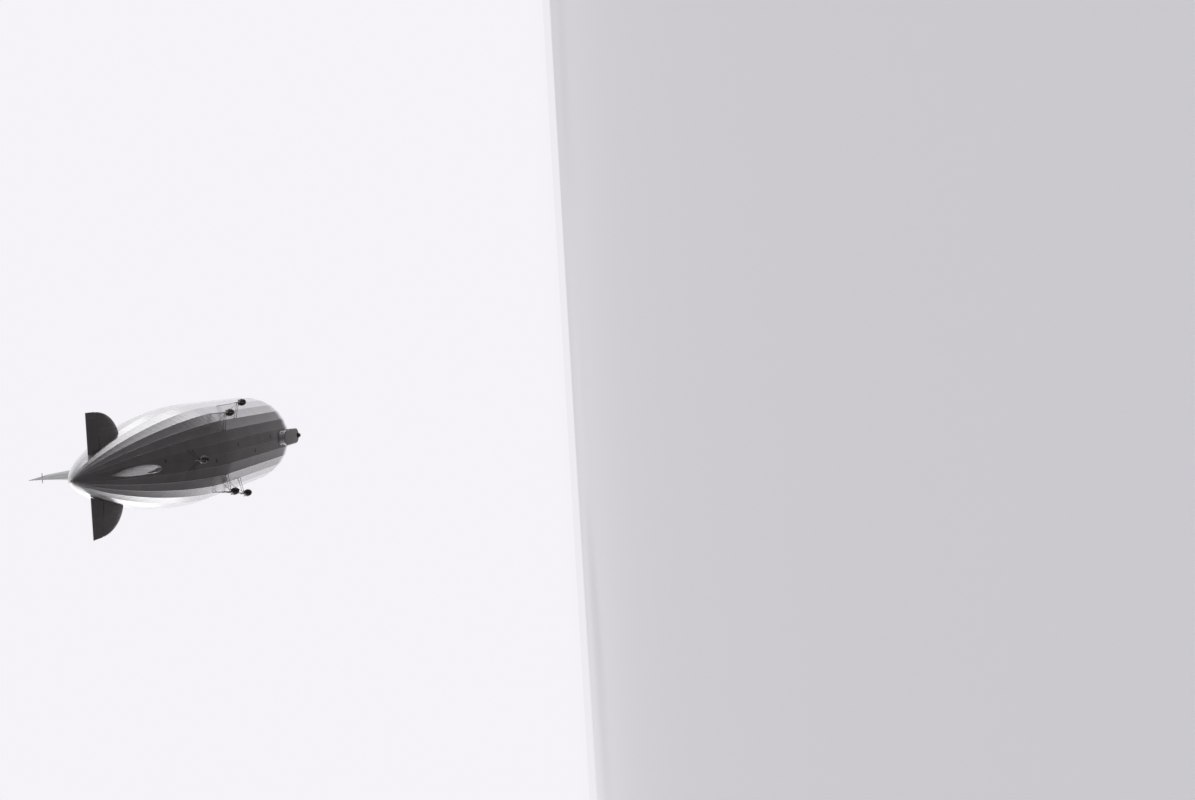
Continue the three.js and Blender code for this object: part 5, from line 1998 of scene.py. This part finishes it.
    def _bulkheads(self) -> None:
        """Builds the two panelled bulkheads, each in two halves with a doorway between."""
        half, thick = GONDOLA.half_width - GONDOLA.wall - 0.04, 0.05
        gap, high = self.doorway
        for node, station in (("bulkhead_control_room", 213.35), ("bulkhead_lounge", 205.5)):
            shape = Shape()
            for side in SIDES:
                feet = [(side * y, GONDOLA.floor_top + 2 * GAP) for y in spaced(gap, half, 6)]
                heads = [(y, HULL.underside(station, y) - 0.02) for y, _ in feet]
                levels = [[(station, *p) for p in line] for line in (feet, heads)]
                shape.solid([line + [(x + thick, y, z) for x, y, z in line[::-1]] for line in levels])
                for z0, z1 in ((-16.95, -16.35), (-16.2, -15.3)):
                    for y0, y1 in ((0.6, 1.45), (1.6, half - 0.12)):
                        for x in (station - 0.006, station + thick + 0.006):
                            path = [(x, side * y, z) for y, z in ((y0, z0), (y1, z0), (y1, z1), (y0, z1))]
                            shape.tube(path, 0.018, 6, closed=True)
            head = GONDOLA.floor_top + high
            tops = [(y, HULL.underside(station, y) - 0.02) for y in spaced(-gap, gap, 4)]
            if min(z for _, z in tops) > head:
                ends = ((station, 1), (station + thick, 1), (station + thick, 0), (station, 0))
                shape.solid([[(x, y, z if upper else head) for x, upper in ends] for y, z in tops])
            shape.place(node + "_panels", [CABIN_WOOD], node)

    def _lounge(self) -> None:
        """Builds the lounge's carpet, tables, chairs and seat pads."""
        wood, pads, mat = Shape(), Shape(), Shape()
        mat.box((205.9, -2.4, self.mat_foot), (212.9, 2.4, self.mat_top))
        for station in self.table_stations:
            for side in SIDES:
                y = side * 1.75
                self._table(wood, (station, y), (0.9, 1.1), 0.75)
                for way in SIDES:
                    self._chair(wood, pads, station + way * 0.85, y, -way)
        wood.place("lounge_tables_and_chairs", [CABIN_WOOD], "lounge_furniture", sharp=35, bevel=0.008)
        carpet = mat.build("lounge_carpet", [SEAT_CLOTH], bevel=0.01)
        fit(carpet, "airframe", SEAT_CLOTH.slot)
        seats = pads.build("lounge_seat_pads", [SEAT_CLOTH], sharp=60)
        base = to_model((0.0, 0.0, self.mat_top + 0.418))[2]
        swell(seats, lambda p: p.z < base, 0.0012)
        fit(seats, "airframe", SEAT_CLOTH.slot)

    def _table(self, shape: Shape, middle: Pair, size: Pair, height: float) -> None:
        """Adds a table with a turned foot.

        Args:
            shape: The shape that it is added to.
            middle: Its middle, fore and aft and to port.
            size: Its size, fore and aft and across.
            height: Its height above the mat.
        """
        top, half = self.mat_top + height, [part / 2 for part in size]
        shape.block((*middle, top - 0.02), (*half, 0.02))
        shape.block((*middle, top - 0.0675), (half[0] - 0.06, half[1] - 0.06, 0.0325))
        foot = (*self.table_foot, (height - 0.09, 0.09))
        shape.post(*middle, [(self.mat_top + z, r) for z, r in foot], 14)

    def _chair(self, wood: Shape, pads: Shape, station: float, across: float, facing: int) -> None:
        """Adds a chair with a padded seat.

        Args:
            wood: The shape for its frame.
            pads: The shape for its seat pad.
            station: Its middle, fore and aft.
            across: Its middle, to port.
            facing: 1 when it faces forward and -1 when it faces aft.
        """
        base, half, (low, high) = self.mat_top, self.chair_half, self.chair_legs
        for x in (-half, half):
            for y in (-half, half):
                top = base + (high if x * facing < 0 else low)
                wood.tube([(station + x, across + y, base - 0.005), (station + x, across + y, top)], 0.022, 6)
        wood.block((station, across, base + 0.365), (half, half, 0.025))
        bend = [(-facing * (half + 0.03 * math.sin(a)), half * math.cos(a)) for a in spaced(0, math.pi, 6)]
        for z in self.chair_slats:
            wood.sweep([(station + x, across + y, base + z) for x, y in bend], self.slat, UP)
        square = []
        for a in around(24):
            c, s = math.cos(a), math.sin(a)
            reach = half / max(abs(c), abs(s)) ** 0.75
            square.append((c * reach, s * reach))
        levels = self.seat_pad
        pads.solid([[(station + out * x, across + out * y, base + z) for x, y in square] for out, z in levels])

    def _curtains(self) -> None:
        """Builds the pleated curtains that hang beside the lounge and cabin windows."""
        inside = GONDOLA.half_width - self.curtain_inset
        steps = enumerate(spaced(-self.curtain_half, self.curtain_half, 24))
        folds = [(u, self.fold_depth * math.sin(step * math.pi / 2)) for step, u in steps]
        for window in WINDOWS:
            if window.wall is not Wall.SIDE or window.at > GONDOLA.door_fore:
                continue
            top = window.top + (0.3 if window.arched else 0.06)
            drop = top - window.sill + 0.12
            for side in SIDES:
                for end in SIDES:
                    middle = window.at + end * (window.width / 2 - 0.02)
                    rows = []
                    for z in spaced(top, top - drop, 5):
                        loose = 0.75 + 0.35 * (top - z) / drop
                        rows.append([(middle + u * loose, side * (inside + fold), z) for u, fold in folds])
                    shape = Shape()
                    shape.grid(rows, ring=False)
                    hand = ("p" if side > 0 else "s") + ("f" if end > 0 else "a")
                    piece = shape.build(f"curtain_{int(window.at)}_{hand}", [CURTAIN_CLOTH], sharp=80)
                    fit(piece, "airframe", CURTAIN_CLOTH.slot)

    def _control_room(self) -> None:
        """Builds the steering wheels, the chart table and their mats."""
        shape = Shape()
        base, up = self.mat_top, Vector(UP)
        shape.box((213.7, -1.4, self.mat_foot), (219.6, 1.4, base))
        shape.box((214.2, -2.15, self.mat_foot + 0.001), (217.6, 2.15, base - 0.001))
        rudder_wheel = (219.1, 0.0, 0.5, Vector((-1, 0, 0)), Vector((0, 1, 0)))
        elevator_wheel = (217.2, 2.05, 0.45, Vector((0, -1, 0)), Vector((1, 0, 0)))
        for station, across, radius, axis, side in (rudder_wheel, elevator_wheel):
            hub = Vector((station, across, base + 0.85))
            rim = hub + axis * 0.19
            shape.box((station - 0.09, across - 0.09, base - 0.005), (station + 0.09, across + 0.09, base + 0.95))
            shape.box((station - 0.16, across - 0.16, base - 0.005), (station + 0.16, across + 0.16, base + 0.05))
            circle = [rim + (side * math.cos(a) + up * math.sin(a)) * (radius - 0.05) for a in around(28)]
            shape.sweep(circle, oval(0.03, 0.03, 8), axis, closed=True)
            shape.tube([hub, hub + axis * 0.24], 0.07, 14)
            for a in around(8):
                way = side * math.cos(a) + up * math.sin(a)
                shape.tube([rim + way * 0.05, rim + way * radius], 0.017, 6)
        self._table(shape, (215.2, -1.85), (1.7, 0.9), 0.9)
        shape.place("control_room_helm", [CABIN_WOOD], "control_room_fittings", sharp=35, bevel=0.006)


@dataclass
class Bumper:
    """An air-filled landing bumper of rubbered canvas, sewn from gores."""

    node: str
    station: float
    top: float
    half_length: float
    half_width: float
    depth: float
    slack: float = 0.985
    seam_depth: float = 0.02
    gores: int = 12
    cells: int = 8
    steps: int = 18

    def build(self) -> None:
        """Builds the bag with its seams pulled in, and the hoop that holds it."""
        shape, hoop_bar, cells = Shape(), Shape(), self.cells
        columns, rows = self.gores * cells, []
        for step in range(self.steps + 1):
            a = math.pi / 2 * step / self.steps
            row = []
            for c in range(columns):
                b, share = TURN * c / columns, (c % cells) / cells
                pull = self.slack - self.seam_depth * (1 - 4 * share * (1 - share)) * math.cos(a) ** 0.5
                out = math.cos(a) * pull if step < self.steps else 0.02
                z = self.top - GAP - self.depth * math.sin(a) * pull
                x, y = self.half_length * math.cos(b), self.half_width * math.sin(b)
                row.append((self.station + x * out, y * out, z))
            rows.append(row)
        shape.grid(rows, caps=True, reach=lambda r, c: (9.0, 0.2 if c % cells else 0.0))
        sewn = {tuple(round(v, 5) for v in to_model(row[c])) for row in rows for c in range(0, columns, cells)}
        rim = to_model((0.0, 0.0, self.top - GAP - 0.04))[2]
        bag = shape.build(self.node + "_bag", [BUMPER_CANVAS], sharp=70)
        swell(bag, lambda p: p.z > rim or tuple(round(v, 5) for v in p) in sewn, 0.005)
        fit(bag, "airframe", BUMPER_CANVAS.slot, self.node)
        bar = [(0.035, 0.015), (0.035, -0.015), (-0.035, -0.015), (-0.035, 0.015)]
        ring = oval(self.half_length * 0.99, self.half_width * 0.99, 48)
        hoop_bar.sweep([(self.station + x, y, self.top - 0.03) for x, y in ring], bar, UP, closed=True)
        hoop_bar.place(self.node + "_hoop", [STRUT_PAINT])


# Studio


@dataclass(frozen=True)
class Lamp:
    """A large soft light at a bearing to port and a height in degrees, seen from the point that it lights."""

    name: str
    bearing: float
    height: float
    size: Pair
    glow: float
    reach: float = 80.0
    target: Colour = (0.0, 0.0, 0.0)

    def hang(self) -> None:
        """Hangs the lamp, unseen by the camera. One from below makes no reflections."""
        light = bpy.data.lights.new(self.name, "AREA")
        light.shape, light.size, light.size_y = "RECTANGLE", *self.size
        light.energy = self.glow * math.pi * self.size[0] * self.size[1]
        lamp = bpy.data.objects.new(self.name, light)
        turn, lift = math.radians(self.bearing), math.radians(self.height)
        back = Vector((math.cos(lift) * math.cos(turn), math.cos(lift) * math.sin(turn), math.sin(lift)))
        side = Vector((-math.sin(turn), math.cos(turn), 0.0))
        lamp.location = Vector(self.target) + back * self.reach
        lamp.rotation_euler = Matrix((side, back.cross(side), back)).transposed().to_euler()
        lamp.visible_camera, lamp.visible_glossy = False, self.height > 0
        bpy.context.scene.collection.objects.link(lamp)


@dataclass
class Studio:
    """The pale floor, the soft lights and the camera where the photograph was taken from."""

    floor_height: float = -12.2
    floor_size: float = 2600.0
    sky: Colour = (0.913, 0.898, 0.939)
    side_sky: Colour = (0.33, 0.325, 0.34)
    low_sky: Colour = (0.05, 0.046, 0.048)
    high_sky: Colour = (0.5, 0.5, 0.51)
    lamps: Sequence[Lamp] = (
        Lamp("port_bow_light", 39.0, 21.0, (58.0, 60.0), 1.05),
        Lamp("port_high_light", 100.0, 43.0, (90.0, 34.0), 1.75),
        Lamp("port_low_light", 100.0, 20.0, (90.0, 30.0), 0.8),
        Lamp("starboard_bow_light", -31.0, 9.0, (38.0, 25.0), 0.8),
        Lamp("starboard_high_light", -100.0, 58.0, (80.0, 46.0), 1.65),
        Lamp("bow_fill_light", 0.0, -50.0, (5.0, 5.0), 3.6, 9.5, (9.3, 0.0, -1.5)),
    )

    def build(self) -> None:
        """Builds the studio."""
        self._floor()
        self._world()
        for lamp in self.lamps:
            lamp.hang()
        self._camera()
        bpy.context.scene.view_settings.view_transform = "Standard"

    def _floor(self) -> None:
        """Lays the floor, which leaves the ship's underside in the shade."""
        mesh = bpy.data.meshes.new("studio_floor")
        size, z = self.floor_size, self.floor_height
        mesh.from_pydata([(-size, -size, z), (size, -size, z), (size, size, z), (-size, size, z)], [], [(0, 1, 2, 3)])
        mesh.materials.append(STUDIO_FLOOR.material())
        floor = bpy.data.objects.new("studio_floor", mesh)
        bpy.context.scene.collection.objects.link(floor)
        floor.visible_diffuse = floor.visible_glossy = False

    def _world(self) -> None:
        """Paints the backdrop: dark below, pale all round, and dimmer high up where the lights are."""
        world = bpy.context.scene.world = bpy.data.worlds.new("studio_world")
        world.use_nodes = True
        nodes = Nodes(world.node_tree)
        ahead, _, up = nodes.axes(nodes.add("ShaderNodeTexCoord", output="Generated"))
        haze = up.rise(-0.2, 0.01)
        low = nodes.mix(haze * haze, self.low_sky, nodes.mix(ahead.rise(0.55, 0.9), self.side_sky, self.sky))
        colour = nodes.mix(up.rise(0.45, 0.8), low, self.high_sky)
        backdrop = nodes.add("ShaderNodeBackground", None, {"Color": colour, "Strength": 1.0})
        nodes.add("ShaderNodeOutputWorld", None, {"Surface": backdrop})

    def _camera(self) -> None:
        """Stands the camera where the photograph's was, turned on its side as that one was."""
        lens = bpy.data.cameras.new("camera")
        lens.lens, lens.sensor_width, lens.clip_start, lens.clip_end = 49.094, 36.0, 0.5, 8000.0
        camera = bpy.context.scene.camera = bpy.data.objects.new("camera", lens)
        ahead = Vector((0.999513, 0.024324, -0.019525))
        right = Vector((0.023128, -0.997972, -0.059309))
        up = Vector((0.020928, -0.058829, 0.998049))
        turn = Matrix((-up, right, -ahead)).transposed().to_4x4()
        camera.matrix_world = Matrix.Translation((-50.7949, -2.104, -11.6743)) @ turn
        bpy.context.scene.collection.objects.link(camera)


FINS = (
    TailFin("fin_top", "rudder_top", 0, 14.7, cloth=RUDDER_PAINTED_SHADE_CLOTH),
    TailFin("fin_bottom", "rudder_bottom", 180, 13.7, 8.7, (7.6, 13.2), RUDDER_PAINTED_SHADE_CLOTH),
    TailFin("fin_port", "elevator_port", -90, 15.6),
    TailFin("fin_starboard", "elevator_starboard", 90, 15.6),
)
CARS = (
    EngineCar("fore_port", 134.3, 14.4, -14.2, (3, 5)),
    EngineCar("fore_starboard", 134.3, -14.4, -14.2, (-3, -5)),
    EngineCar("aft_port", 108.1, 11.9, -15.6, (2, 4)),
    EngineCar("aft_starboard", 108.1, -11.9, -15.6, (-2, -4)),
    EngineCar("tail", 68.0, 0.0, -15.7, (-1, 1)),
)
BUMPERS = (
    Bumper("bumper_gondola", 217.9, -17.45, 1.7, 0.9, 1.15),
    Bumper("bumper_tail_car", 68.0, -16.8, 0.9, 0.55, 0.6),
)


def main() -> None:
    """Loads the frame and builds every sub-assembly in order."""
    logging.basicConfig(level=logging.INFO, format="%(message)s", stream=sys.stdout)
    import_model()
    Studio().build()
    for assembly in (HullCover(), HullEnds(), HullFittings(), *FINS, *CARS, Gondola(), *BUMPERS):
        LOG.info("building %s", getattr(assembly, "name", type(assembly).__name__))
        assembly.build()


if __name__ == "__main__":
    main()
